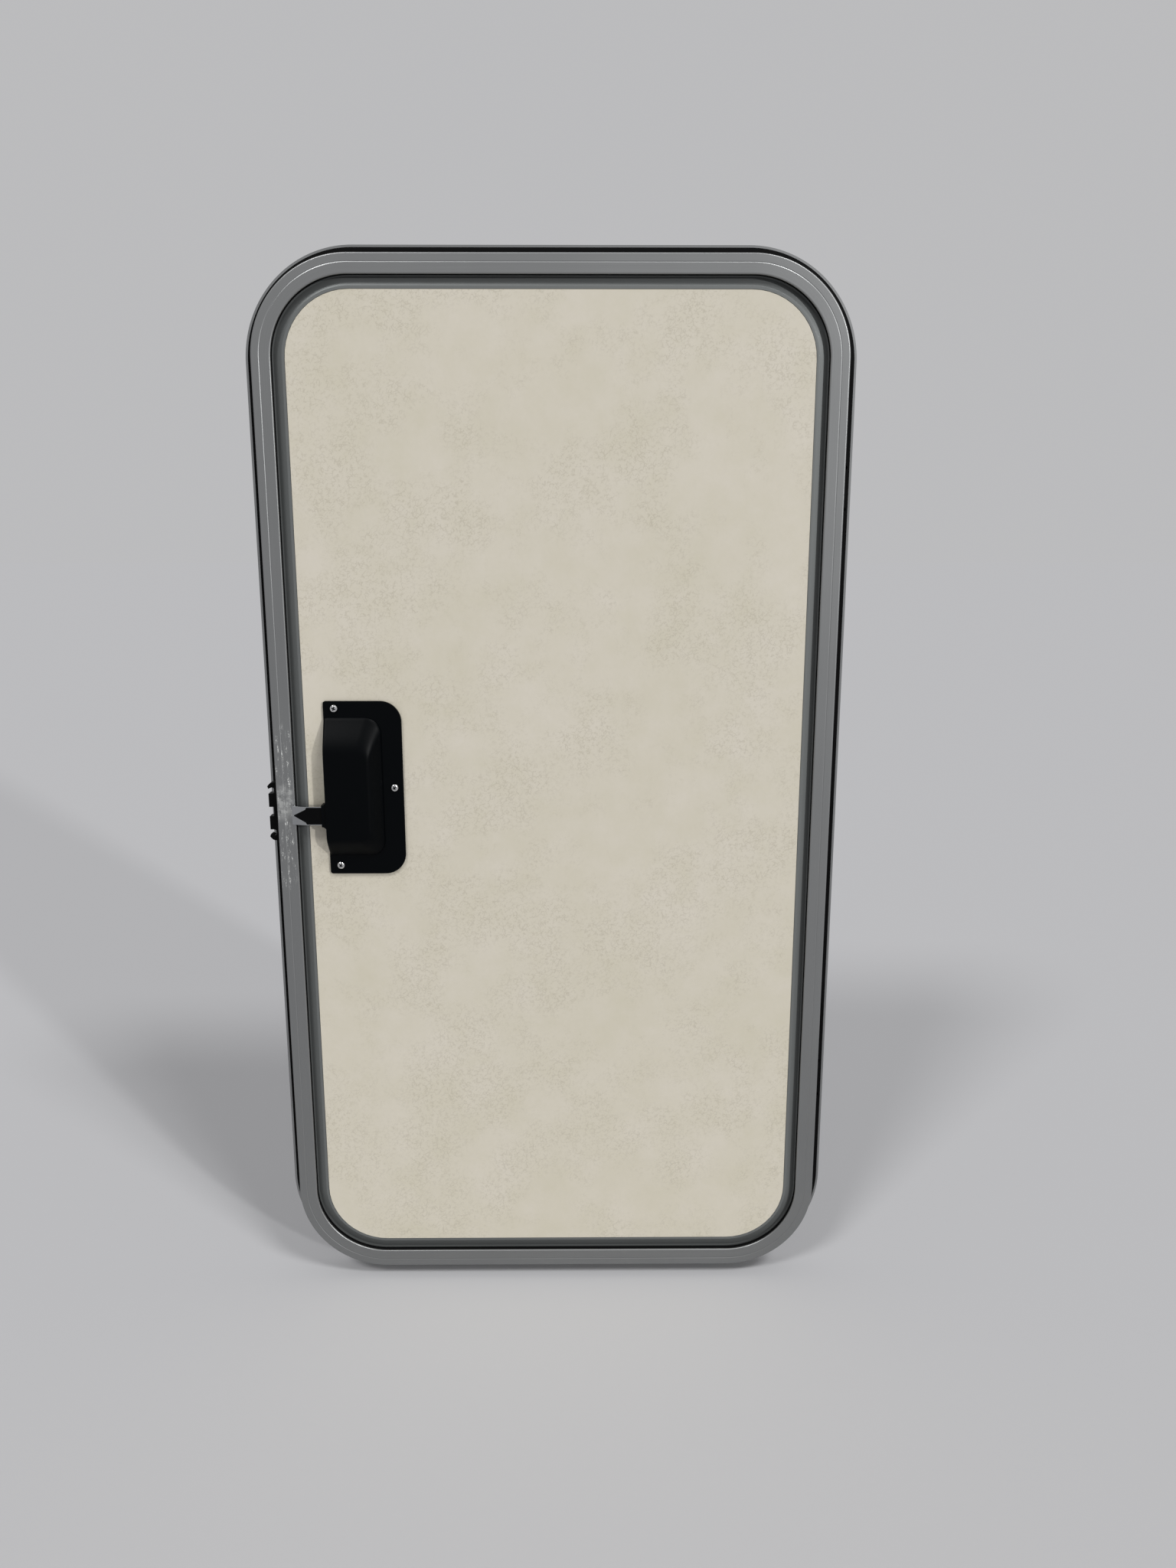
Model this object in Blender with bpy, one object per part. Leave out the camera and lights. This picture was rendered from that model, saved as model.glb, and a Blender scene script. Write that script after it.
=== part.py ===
"""Service door for a caravan: a bent aluminium frame, a hinged sandwich leaf, and a slam-free latch.

The door is seen from inside the caravan: +X is to the right, +Z is up, and -Y faces the room.
The wall's outer skin lies against the frame's outer flange at Y = 0.
Lengths are in metres. "Inset" and "offset" are measured from the outline of the frame's inner face.
"""

import math

import bmesh
import bpy
from mathutils import Matrix, Vector

# Overall frame
FACE_W = 0.535
FACE_H = 1.000
CORNER_R = 0.089
FRAME_DEPTH = 0.030
FACE_BAND = 0.0173
FACE_WALL = 0.0018
WEB_WALL = 0.0018
EDGE_R = 0.0012
GROOVE_OFFSET = 0.0077
GROOVE_W = 0.0010
GROOVE_DEEP = 0.0005
EDGE_STEPS = 2
FLANGE_OUT = 0.012
FLANGE_WALL = 0.0015
LIP_W = 0.0025
CHANNEL_DEEP = 0.0015
CORNER_STEPS = 12

# Fits
FIT = 0.0003
SEAL_SINK = 0.0002
LEAF_GAP = 0.0012
SHAFT_FIT = 0.00035
SLIVER = 0.00001
OVERRUN = 0.001
BEYOND = 0.05

# Rubber seal behind the frame's inner face
SEAL_NOSE = 0.0009
SEAL_HALF_W = 0.0050
SEAL_THICK = 0.0059
SEAL_STEPS = 10

# Joint plate across the frame's butt joint
JOINT_PLATE_L = 0.070
JOINT_PLATE_W = 0.016
JOINT_PLATE_T = 0.0015

# Leaf
PANEL_INSET = 0.031
PANEL_DEPTH = 0.0043
PANEL_T = 0.0034
RIM_STEP = 0.0007
RIM_FLAT = 0.0037
RIM_SLOPE_END = 0.0195
RIM_WALL = 0.0015
RIM_LEDGE = 0.0070
RIM_STEPS = 6
LEAF_PROUD = 0.0005
LEAF_LIP_W = 0.023
LEAF_LIP_T = 0.0012
SKIN_T = 0.0013
LEAF_CORNER_R = 0.0005

# Inner lock cover, placed from the door's centre
COVER_EDGE_IN = 0.0485
COVER_Z0 = -0.0669
COVER_W = 0.074
COVER_H = 0.1705
COVER_T = 0.0022
COVER_WALL = 0.0020
COVER_R_RIGHT = 0.020
COVER_R_LEFT = 0.0025
COVER_STEPS = 6
DOME_ROOT = 0.0008
DOME_LEFT_LEAN = 0.0006
DOME_R_TOP = 0.016
DOME_R_TOP_GAIN = 0.004
DOME_R_LOW = 0.014
DOME_R_LOW_LOSS = 0.002
DOME_R_LEFT = 0.0030
DOME_HEIGHT = 0.0175
DOME_RIGHT_IN = 0.0194
DOME_TOP_IN = 0.0156
DOME_BOTTOM_IN = 0.0189
DOME_RUN_TOP = 0.031
DOME_RUN_RIGHT = 0.0131
DOME_RUN_BOTTOM = 0.0185
COLLAR_OUT = 0.0055
COLLAR_FLARE = 0.0050
COLLAR_WALL = 0.0014
COLLAR_CURVE = 2.2
COLLAR_STEPS = 5

# Cover screws: in from the plate's edges
SCREW_LEFT_IN = 0.0105
SCREW_RIGHT_IN = 0.0085
SCREW_TOP_IN = 0.0070
SCREW_BOTTOM_IN = 0.0088
SCREW_SIDE_UP = 0.0863
SCREW_HEAD_R = 0.00385
SCREW_HEAD_H = 0.0024
SCREW_SHANK_R = 0.0019
SCREW_L = 0.022
SCREW_POINT_L = 0.003
RECESS_W = 0.0011
RECESS_L = 0.0044
RECESS_DEEP = 0.0013

# Latch bolt
BOLT_Z = -0.006
BOLT_H = 0.0182
BOLT_T = 0.0094
BOLT_OVER_FACE = 0.0015
BOLT_L = 0.0552
BOLT_NOSE = 0.0135
BOLT_NOSE_DROP = 0.0030
INSERT_DEEP = 0.0014
INSERT_EDGE = 0.0008
INSERT_V_H = 0.0126
INSERT_TIP = 0.0012
INSERT_STEP = 0.0010
INSERT_UNDER_COVER = 0.004

# Spring behind the bolt
SPRING_L = 0.0140
SPRING_R = 0.0032
SPRING_WIRE_R = 0.0004
SPRING_TURNS = 6
SPRING_STEPS = 10
SPRING_SIDES = 5
SPRING_END_SHARE = 0.12
SPRING_END_RUN = 0.04

# Bolt guide
GUIDE_WALL = 0.0025
GUIDE_BASE_T = 0.0037
GUIDE_SIDE_FIT = 0.0004

# Outer handle plate and its finger pan
PLATE_T = 0.0030
PLATE_R = 0.012
PLATE_CHAMFER = 0.0010
PAN_CHAMFER = 0.0015
PAN_X0_IN = 0.0050
PAN_X1_IN = 0.0300
PAN_Z0_IN = 0.0309
PAN_Z1_IN = 0.0196
PAN_WALL = 0.0020
PAN_R = 0.006
PAN_STEPS = 4
PAN_HOLE_FIT = 0.0005
BOSS_R = 0.0042
BOSS_L = 0.0230
BOSS_FIT = 0.0004

# Pull handle
PIVOT_IN = 0.0055
PIVOT_Y = -0.0010
PIVOT_R = 0.0030
PIN_R = 0.0015
PADDLE_W = 0.0200
PADDLE_T = 0.0030
PADDLE_RISE = 0.0026
PADDLE_EDGE = 0.0010
PADDLE_WEB_T = 0.0030
PADDLE_LEFT = 0.0030
PADDLE_END_GAP = 0.0010
GRIP_DEEP = 0.0060
GRIP_T = 0.0035
ARM_T = 0.0040
ARM_W = 0.0070
ARM_TIP_DEEP = 0.0040
ARM_BACKLASH = 0.0015
ARM_ROOM = 0.0009
HANDLE_SWING = math.radians(15.0)

# Key cylinder, placed from the handle plate's edges
KEY_RIGHT_IN = 0.0450
KEY_BOTTOM_IN = 0.0149
KEY_FLANGE_R = 0.0105
KEY_FLANGE_T = 0.0018
KEY_EDGE = 0.0006
KEY_BODY_R = 0.0088
KEY_BODY_L = 0.0200
KEY_PLUG_R = 0.0062
KEY_PLUG_PROUD = 0.0008
KEY_SLOT_W = 0.0014
KEY_SLOT_H = 0.0076
KEY_SLOT_DEEP = 0.0070
KEY_NUT_R = 0.0125
KEY_NUT_T = 0.0040
CAM_L = 0.0115
CAM_W = 0.0070
CAM_T = 0.0018
CAM_ROOM = 0.0010
KEY_ROOM = 0.0015

# Keeper clipped to the outside of the frame's web
KEEPER_DEPTH = 0.0080
KEEPER_T = 0.0100
KEEPER_Z = -0.0058
KEEPER_LUG_Z = -0.0040
KEEPER_HALF_H = 0.0290
KEEPER_BACK = 0.0034
KEEPER_GAP_DEEP = 0.0054
KEEPER_OUT = 0.0098
KEEPER_GAP = 0.0046
KEEPER_BLOCK_END = 0.0180
KEEPER_NOTCH_R = 0.0030
KEEPER_BULGE = 0.0008
KEEPER_BULGE_UP = 0.0012
KEEPER_END_R = 0.0045
KEEPER_LUG_H = 0.0060
KEEPER_LUG_T = 0.0050
KEEPER_LUG_AT = 0.0120

# Hinges
HINGE_Z = 0.300
HINGE_L = 0.060
HINGE_PLATE_T = 0.0025
HINGE_KNUCKLE_R = 0.0042
HINGE_KNUCKLE_LIFT = 0.0003
HINGE_END_IN = 0.0005
HINGE_ROOT = 0.0011
HINGE_PIN_R = 0.0024
HINGE_PIN_HEAD_R = 0.0036
HINGE_PIN_HEAD_T = 0.0012
HINGE_MID = 0.0230
HINGE_AXIS_IN = 0.0010
HINGE_LEAF_W = 0.0215
HINGE_FRAME_W = 0.0120
HINGE_SCREW_END_IN = 0.0110
HINGE_RIVET_IN = 0.0070
HINGE_SCREW_IN = 0.0133
RIVET_HEAD_R = 0.0032
RIVET_HEAD_H = 0.0014
RIVET_R = 0.0016
RIVET_TAIL_R = 0.0023
HINGE_SCREW_L = 0.0120

ROUND_STEPS = 16
HOLE_STEPS = 12

# Places worked out from the sizes above
CENTRE_Z = FACE_H / 2 + FLANGE_OUT - LIP_W / 2
FACE_Y = -FRAME_DEPTH
FACE_BACK_Y = FACE_Y + FACE_WALL
FLANGE_Y = CHANNEL_DEEP + FLANGE_WALL
PANEL_Y = FACE_Y + PANEL_DEPTH
PANEL_BACK_Y = PANEL_Y + PANEL_T
RIM_Y = PANEL_Y + RIM_STEP
SEAL_BACK_Y = FACE_BACK_Y + FIT + SEAL_THICK
REST_Y = SEAL_BACK_Y + FIT
LEAF_EDGE = -(WEB_WALL + LEAF_GAP)
LEAF_OUT_Y = FLANGE_Y + LEAF_PROUD
SKIN_Y = LEAF_OUT_Y - LEAF_LIP_T - FIT
SKIN_IN_Y = SKIN_Y - SKIN_T
SKIN_EDGE = LEAF_EDGE - RIM_WALL - FIT
COVER_X0 = -(FACE_W / 2 - COVER_EDGE_IN)
COVER_X1 = COVER_X0 + COVER_W
COVER_Z1 = COVER_Z0 + COVER_H
COVER_BACK_Y = PANEL_Y - FIT
COVER_Y = COVER_BACK_Y - COVER_T
DOME_Y = PANEL_Y - DOME_HEIGHT
BOLT_BACK_Y = FACE_Y - FIT
BOLT_FRONT_Y = BOLT_BACK_Y - BOLT_T
BOLT_X0 = -(FACE_W / 2 - FACE_BAND) - BOLT_OVER_FACE
BOLT_X1 = BOLT_X0 + BOLT_L
PLATE_BACK_Y = SKIN_Y + FIT
PLATE_Y = PLATE_BACK_Y + PLATE_T
PAN_X0 = COVER_X0 + PAN_X0_IN
PAN_X1 = COVER_X1 - PAN_X1_IN + PAN_WALL
PAN_Z0 = COVER_Z0 + PAN_Z0_IN
PAN_Z1 = COVER_Z1 - PAN_Z1_IN
PAN_BACK_Y = BOLT_BACK_Y + GUIDE_BASE_T + 2 * FIT
PIVOT_X = PAN_X0 + PAN_WALL + PIVOT_IN
KEY_X = COVER_X1 - KEY_RIGHT_IN
KEY_Z = COVER_Z0 + KEY_BOTTOM_IN
HINGE_X = FACE_W / 2 - HINGE_AXIS_IN
HINGE_Y = FLANGE_Y + FIT + HINGE_KNUCKLE_LIFT + HINGE_KNUCKLE_R
HINGE_SCREW_AT = HINGE_L / 2 - HINGE_SCREW_END_IN
SCREWS = {
    "top": (COVER_X0 + SCREW_LEFT_IN, COVER_Z1 - SCREW_TOP_IN),
    "side": (COVER_X1 - SCREW_RIGHT_IN, COVER_Z0 + SCREW_SIDE_UP),
    "bottom": (COVER_X0 + SCREW_LEFT_IN, COVER_Z0 + SCREW_BOTTOM_IN),
}


def clear_scene():
    for obj in list(bpy.data.objects):
        bpy.data.objects.remove(obj)


def material(name, colour, roughness, metallic):
    made = bpy.data.materials.new(name)
    made.use_nodes = True
    shader = made.node_tree.nodes["Principled BSDF"]
    shader.inputs["Base Color"].default_value = (*colour, 1.0)
    shader.inputs["Roughness"].default_value = roughness
    shader.inputs["Metallic"].default_value = metallic
    return made


def pivot(name, place, parent=None):
    """An empty on a joint's axis, which carries the pieces that turn or slide there."""
    empty = bpy.data.objects.new(name, None)
    bpy.context.scene.collection.objects.link(empty)
    empty.parent = parent["empty"] if parent else None
    world = Vector(place)
    base = parent["world"] if parent else Vector((0, 0, 0))
    empty.location = world - base
    return {"empty": empty, "world": world}


def add(name, bm, made_of, carrier=None):
    """Turns a bmesh in world coordinates into an object, with its origin on its carrier's axis."""
    world = carrier["world"] if carrier else Vector((0, 0, 0))
    bmesh.ops.remove_doubles(bm, verts=bm.verts, dist=1e-7)
    bmesh.ops.recalc_face_normals(bm, faces=bm.faces)
    bmesh.ops.translate(bm, verts=bm.verts, vec=-world)
    mesh = bpy.data.meshes.new(name)
    bm.to_mesh(mesh)
    bm.free()
    mesh.shade_smooth()
    mesh.set_sharp_from_angle(angle=math.radians(30))
    obj = bpy.data.objects.new(name, mesh)
    bpy.context.scene.collection.objects.link(obj)
    obj.data.materials.append(made_of)
    if carrier:
        obj.parent = carrier["empty"]
    return obj


def combine(obj, bm, operation, label):
    """Joins a helper solid to an object, or cuts it away, and leaves no slivers behind."""
    bmesh.ops.recalc_face_normals(bm, faces=bm.faces)
    mesh = bpy.data.meshes.new(obj.name + "_" + label)
    bm.to_mesh(mesh)
    bm.free()
    helper = bpy.data.objects.new(obj.name + "_" + label, mesh)
    bpy.context.scene.collection.objects.link(helper)
    boolean = obj.modifiers.new(label, "BOOLEAN")
    boolean.operation = operation
    boolean.solver = "EXACT"
    boolean.object = helper
    result = bmesh.new()
    result.from_object(obj, bpy.context.evaluated_depsgraph_get())
    bmesh.ops.remove_doubles(result, verts=result.verts, dist=SLIVER)
    slits = [edge for edge in result.edges if edge.is_boundary]
    bmesh.ops.holes_fill(result, edges=slits, sides=4)
    bmesh.ops.dissolve_degenerate(result, edges=result.edges, dist=SLIVER)
    obj.modifiers.clear()
    result.to_mesh(obj.data)
    result.free()
    obj.data.shade_smooth()
    obj.data.set_sharp_from_angle(angle=math.radians(30))
    bpy.data.objects.remove(helper)


def cut(obj, bm, label):
    combine(obj, bm, "DIFFERENCE", label)


def unite(obj, bm, label):
    combine(obj, bm, "UNION", label)


def arc(centre, radius, start, end, steps):
    """Points of an arc in a plane, from one angle to another, in degrees."""
    found = []
    for k in range(steps + 1):
        angle = math.radians(start + (end - start) * k / steps)
        found.append((centre[0] + radius * math.cos(angle), centre[1] + radius * math.sin(angle)))
    return found


def ring(section):
    """Sweeps a closed section of (offset, y) points round the door by extruding and spinning it."""
    bm = bmesh.new()
    reach_x = FACE_W / 2 - CORNER_R
    reach_z = FACE_H / 2 - CORNER_R
    verts = [bm.verts.new((0, y, CENTRE_Z - FACE_H / 2 - out)) for out, y in section]
    edges = [bm.edges.new((verts[k - 1], verts[k])) for k in range(len(verts))]
    runs = [
        ((reach_x, 0, 0), (1, -1)),
        ((0, 0, 2 * reach_z), (1, 1)),
        ((-2 * reach_x, 0, 0), (-1, 1)),
        ((0, 0, -2 * reach_z), (-1, -1)),
    ]
    for along, (side, level) in runs:
        made = bmesh.ops.extrude_edge_only(bm, edges=edges)["geom"]
        moved = [item for item in made if isinstance(item, bmesh.types.BMVert)]
        edges = [item for item in made if isinstance(item, bmesh.types.BMEdge)]
        bmesh.ops.translate(bm, verts=moved, vec=along)
        edges = [item for item in edges if all(v in moved for v in item.verts)]
        turned = bmesh.ops.spin(
            bm,
            geom=edges + moved,
            cent=(side * reach_x, 0, CENTRE_Z + level * reach_z),
            axis=(0, -1, 0),
            angle=math.pi / 2,
            steps=CORNER_STEPS,
            use_merge=False,
        )["geom_last"]
        edges = [item for item in turned if isinstance(item, bmesh.types.BMEdge)]
    made = bmesh.ops.extrude_edge_only(bm, edges=edges)["geom"]
    moved = [item for item in made if isinstance(item, bmesh.types.BMVert)]
    bmesh.ops.translate(bm, verts=moved, vec=(reach_x, 0, 0))
    bmesh.ops.remove_doubles(bm, verts=bm.verts, dist=1e-5)
    return bm


def box_loop(x0, x1, z0, z1, radii, steps):
    """A rectangle with its own radius at each corner: right top, left top, left bottom, right bottom."""
    centres = [
        (x1 - radii[0], z1 - radii[0], 0),
        (x0 + radii[1], z1 - radii[1], 90),
        (x0 + radii[2], z0 + radii[2], 180),
        (x1 - radii[3], z0 + radii[3], 270),
    ]
    found = []
    for radius, (x, z, start) in zip(radii, centres):
        found += arc((x, z), radius, start, start + 90, steps)
    return found


def door_loop(offset):
    """The door's rounded outline at an offset from the inner face's outline."""
    half_w = FACE_W / 2 + offset
    half_h = FACE_H / 2 + offset
    return box_loop(-half_w, half_w, -half_h, half_h, [CORNER_R + offset] * 4, CORNER_STEPS)


def loft(levels):
    """A solid through closed loops: each level is a list of (x, z) points and their y."""
    bm = bmesh.new()
    before = None
    for loop, y in levels:
        verts = [bm.verts.new((x, y, CENTRE_Z + z)) for x, z in loop]
        if before is None:
            bm.faces.new(verts)
        else:
            for k in range(len(verts)):
                bm.faces.new((before[k - 1], before[k], verts[k], verts[k - 1]))
        before = verts
    bm.faces.new(before)
    bmesh.ops.recalc_face_normals(bm, faces=bm.faces)
    return bm


def prism(points, y0, y1):
    return loft([(points, y0), (points, y1)])


def block(x0, x1, y0, y1, z0, z1):
    """A box between two corners, with its height taken from the door's centre."""
    bm = bmesh.new()
    size = Matrix.Diagonal((x1 - x0, y1 - y0, z1 - z0, 1))
    place = Matrix.Translation(((x0 + x1) / 2, (y0 + y1) / 2, CENTRE_Z + (z0 + z1) / 2))
    bmesh.ops.create_cube(bm, size=1, matrix=place @ size)
    return bm


def turned(profile, x, y, z, along="Y", steps=ROUND_STEPS):
    """Revolves (radius, distance) points about an axis through x, y, z; the ends lie on the axis."""
    bm = bmesh.new()
    verts = [bm.verts.new((radius, 0, run)) for radius, run in profile]
    edges = [bm.edges.new(pair) for pair in zip(verts, verts[1:])]
    bmesh.ops.spin(
        bm,
        geom=verts + edges,
        cent=(0, 0, 0),
        axis=(0, 0, 1),
        angle=2 * math.pi,
        steps=steps,
        use_merge=True,
    )
    bmesh.ops.remove_doubles(bm, verts=bm.verts, dist=1e-6)
    bmesh.ops.recalc_face_normals(bm, faces=bm.faces)
    turn = Matrix.Identity(4)
    if along == "Y":
        turn = Matrix.Rotation(-math.pi / 2, 4, "X")
    bmesh.ops.transform(bm, matrix=Matrix.Translation((x, y, CENTRE_Z + z)) @ turn, verts=bm.verts)
    return bm


def rod(radius, x, z, y0, y1, steps=ROUND_STEPS):
    """A plain round bar along Y."""
    length = y1 - y0
    return turned([(0, 0), (radius, 0), (radius, length), (0, length)], x, y0, z, "Y", steps)


def post(radius, x, y, z0, z1, steps=ROUND_STEPS):
    """A plain round bar along Z."""
    height = z1 - z0
    return turned([(0, 0), (radius, 0), (radius, height), (0, height)], x, y, z0, "Z", steps)


def merge(parts):
    """Puts several separate solids into one bmesh."""
    whole = bmesh.new()
    for part in parts:
        mesh = bpy.data.meshes.new("part")
        part.to_mesh(mesh)
        part.free()
        whole.from_mesh(mesh)
        bpy.data.meshes.remove(mesh)
    return whole


def frame_section():
    """The bent frame extrusion: inner face, web, and outer flange with its seal channel."""
    points = arc((-EDGE_R, FACE_Y + EDGE_R), EDGE_R, 0, -90, EDGE_STEPS)
    points.append((-GROOVE_OFFSET + GROOVE_W / 2, FACE_Y))
    points.append((-GROOVE_OFFSET, FACE_Y + GROOVE_DEEP))
    points.append((-GROOVE_OFFSET - GROOVE_W / 2, FACE_Y))
    points += arc((-FACE_BAND + EDGE_R, FACE_Y + EDGE_R), EDGE_R, -90, -180, EDGE_STEPS)
    points.append((-FACE_BAND, FACE_BACK_Y))
    points.append((-WEB_WALL, FACE_BACK_Y))
    points.append((-WEB_WALL, FLANGE_Y))
    points += arc((FLANGE_OUT - EDGE_R, FLANGE_Y - EDGE_R), EDGE_R, 90, 0, EDGE_STEPS)
    points.append((FLANGE_OUT, 0))
    points.append((FLANGE_OUT - LIP_W, 0))
    points.append((FLANGE_OUT - LIP_W, CHANNEL_DEEP))
    points.append((0, CHANNEL_DEEP))
    return points


def frame_seal_section():
    """The oval rubber section whose nose shows past the frame's inner edge."""
    centre_u = -FACE_BAND - SEAL_NOSE + SEAL_HALF_W
    centre_y = FACE_BACK_Y + FIT + SEAL_THICK / 2
    found = []
    for k in range(SEAL_STEPS):
        angle = 2 * math.pi * (k + 0.5) / SEAL_STEPS
        squash = math.cos(math.pi / SEAL_STEPS)
        across = SEAL_HALF_W * math.cos(angle) / squash
        along = SEAL_THICK / 2 * math.sin(angle) / squash
        found.append((centre_u + across, centre_y + along))
    return found


def flange_seal_section():
    outer = FLANGE_OUT - LIP_W - FIT
    return [(FIT, CHANNEL_DEEP - FIT), (FIT, SEAL_SINK), (outer, SEAL_SINK), (outer, CHANNEL_DEEP - FIT)]


def rim_slope():
    """Points of the soft slope from the raised inner rim down to the seal's seat."""
    start = -(PANEL_INSET - FIT - RIM_FLAT)
    end = -RIM_SLOPE_END
    found = []
    for k in range(RIM_STEPS + 1):
        share = k / RIM_STEPS
        ease = (1 - math.cos(math.pi * share)) / 2
        found.append((start + (end - start) * share, RIM_Y + (REST_Y - RIM_Y) * ease))
    return found


def edge_section():
    """The leaf's edge extrusion: rim, edge wall and outer lip, with a ledge under the inner panel."""
    panel_edge = -(PANEL_INSET - FIT)
    ledge_y = PANEL_BACK_Y + FIT
    points = [(-(PANEL_INSET + RIM_LEDGE), ledge_y), (panel_edge, ledge_y), (panel_edge, RIM_Y)]
    points += rim_slope()
    points += arc((LEAF_EDGE - LEAF_CORNER_R, REST_Y + LEAF_CORNER_R), LEAF_CORNER_R, -90, 0, EDGE_STEPS)
    points += arc((LEAF_EDGE - LEAF_CORNER_R, LEAF_OUT_Y - LEAF_CORNER_R), LEAF_CORNER_R, 0, 90, EDGE_STEPS)
    lip_end = LEAF_EDGE - LEAF_LIP_W
    points.append((lip_end, LEAF_OUT_Y))
    points.append((lip_end, LEAF_OUT_Y - LEAF_LIP_T))
    points.append((LEAF_EDGE - RIM_WALL, LEAF_OUT_Y - LEAF_LIP_T))
    points.append((LEAF_EDGE - RIM_WALL, REST_Y + RIM_WALL))
    points.append((-RIM_SLOPE_END, REST_Y + RIM_WALL))
    points.append((-(PANEL_INSET - FIT - RIM_FLAT), RIM_Y + RIM_WALL))
    points.append((panel_edge + RIM_WALL, RIM_Y + RIM_WALL))
    points.append((panel_edge + RIM_WALL, ledge_y + RIM_WALL))
    points.append((-(PANEL_INSET + RIM_LEDGE), ledge_y + RIM_WALL))
    return points


def keeper_half():
    """Half of the keeper's outline, from its middle up: (out from the web, up) points."""
    top = KEEPER_HALF_H
    back = KEEPER_BACK
    out = KEEPER_OUT
    notch = KEEPER_BLOCK_END + KEEPER_NOTCH_R
    points = [(FIT, 0), (KEEPER_GAP_DEEP, 0), (KEEPER_GAP_DEEP, KEEPER_GAP), (out, KEEPER_GAP)]
    points.append((out, KEEPER_BLOCK_END))
    points += arc((back + KEEPER_NOTCH_R, notch), KEEPER_NOTCH_R, -90, -270, 6)
    points.append((out, notch + KEEPER_NOTCH_R * 0.55))
    points.append((out + KEEPER_BULGE, notch + KEEPER_NOTCH_R + KEEPER_BULGE_UP))
    points += arc((out - KEEPER_END_R, top - KEEPER_END_R), KEEPER_END_R, 45, 90, 3)
    points.append((FIT, top))
    return points


def screw(x, z, face_y, length, into):
    """A pan-head screw with a cross recess; into is the direction along Y in which it is driven."""
    profile = [(0, -SCREW_HEAD_H), (SCREW_HEAD_R * 0.45, -SCREW_HEAD_H)]
    profile.append((SCREW_HEAD_R * 0.85, -SCREW_HEAD_H * 0.72))
    profile.append((SCREW_HEAD_R, -SCREW_HEAD_H * 0.25))
    profile.append((SCREW_HEAD_R, 0))
    profile.append((SCREW_SHANK_R, 0))
    profile.append((SCREW_SHANK_R, length - SCREW_POINT_L))
    profile.append((0, length))
    if into < 0:
        profile = [(radius, -run) for radius, run in profile]
    return turned(profile, x, face_y, z)


def recess(x, z, top_y, into):
    """The two crossed slots of a screw's recess."""
    deep = top_y + into * RECESS_DEEP
    clear = top_y - into * OVERRUN
    low, high = min(deep, clear), max(deep, clear)
    half = RECESS_L / 2
    thin = RECESS_W / 2
    across = block(x - half, x + half, low, high, z - thin, z + thin)
    upright = block(x - thin, x + thin, low, high, z - half, z + half)
    return across, upright


def make_frame(mats):
    frame = add("frame_profile", ring(frame_section()), mats["frame_aluminium"])
    outer = -FACE_W / 2
    lug_y0 = FACE_Y + KEEPER_DEPTH + (KEEPER_T - KEEPER_LUG_T) / 2
    slots = []
    for side in (-1, 1):
        z = KEEPER_LUG_Z + side * KEEPER_LUG_AT
        half = KEEPER_LUG_H / 2 + FIT
        slots.append(
            block(
                outer - OVERRUN,
                outer + WEB_WALL + OVERRUN,
                lug_y0 - FIT,
                lug_y0 + KEEPER_LUG_T + FIT,
                z - half,
                z + half,
            )
        )
    cut(frame, merge(slots), "keeper_slots")
    rivet_x = HINGE_X + HINGE_RIVET_IN
    holes = [
        rod(RIVET_R + FIT, rivet_x, level, -OVERRUN, FLANGE_Y + OVERRUN, HOLE_STEPS)
        for level in rivet_levels()
    ]
    cut(frame, merge(holes), "rivet_holes")
    seal = add("flange_seal", ring(flange_seal_section()), mats["black_rubber"])
    tails = [
        rod(RIVET_TAIL_R + 2 * FIT, rivet_x, level, -OVERRUN, FLANGE_Y, HOLE_STEPS)
        for level in rivet_levels()
    ]
    cut(seal, merge(tails), "rivet_reliefs")
    add("frame_seal", ring(frame_seal_section()), mats["black_rubber"])
    plate = block(
        -JOINT_PLATE_L / 2,
        JOINT_PLATE_L / 2,
        (FACE_Y - JOINT_PLATE_W) / 2,
        (FACE_Y + JOINT_PLATE_W) / 2,
        -FACE_H / 2 - FIT - JOINT_PLATE_T,
        -FACE_H / 2 - FIT,
    )
    add("joint_plate", plate, mats["frame_aluminium"])


def rivet_levels():
    return [hinge + side * HINGE_SCREW_AT for hinge in (HINGE_Z, -HINGE_Z) for side in (-1, 1)]


def make_keeper(mats):
    half = keeper_half()
    upper = [(-FACE_W / 2 - out, KEEPER_Z + up) for out, up in half]
    lower = [(-FACE_W / 2 - out, KEEPER_Z - up) for out, up in reversed(half[1:-1])]
    ends = [(-FACE_W / 2 - FIT, KEEPER_Z - KEEPER_HALF_H)]
    outline = upper[1:] + ends + lower
    front = FACE_Y + KEEPER_DEPTH
    keeper = add("strike_keeper", prism(outline, front, front + KEEPER_T), mats["black_plastic"])
    lug_y0 = front + (KEEPER_T - KEEPER_LUG_T) / 2
    outer = -FACE_W / 2
    lugs = []
    for side in (-1, 1):
        z = KEEPER_LUG_Z + side * KEEPER_LUG_AT
        lugs.append(
            block(
                outer - FIT - OVERRUN,
                outer + WEB_WALL,
                lug_y0,
                lug_y0 + KEEPER_LUG_T,
                z - KEEPER_LUG_H / 2,
                z + KEEPER_LUG_H / 2,
            )
        )
    unite(keeper, merge(lugs), "lugs")


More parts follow.
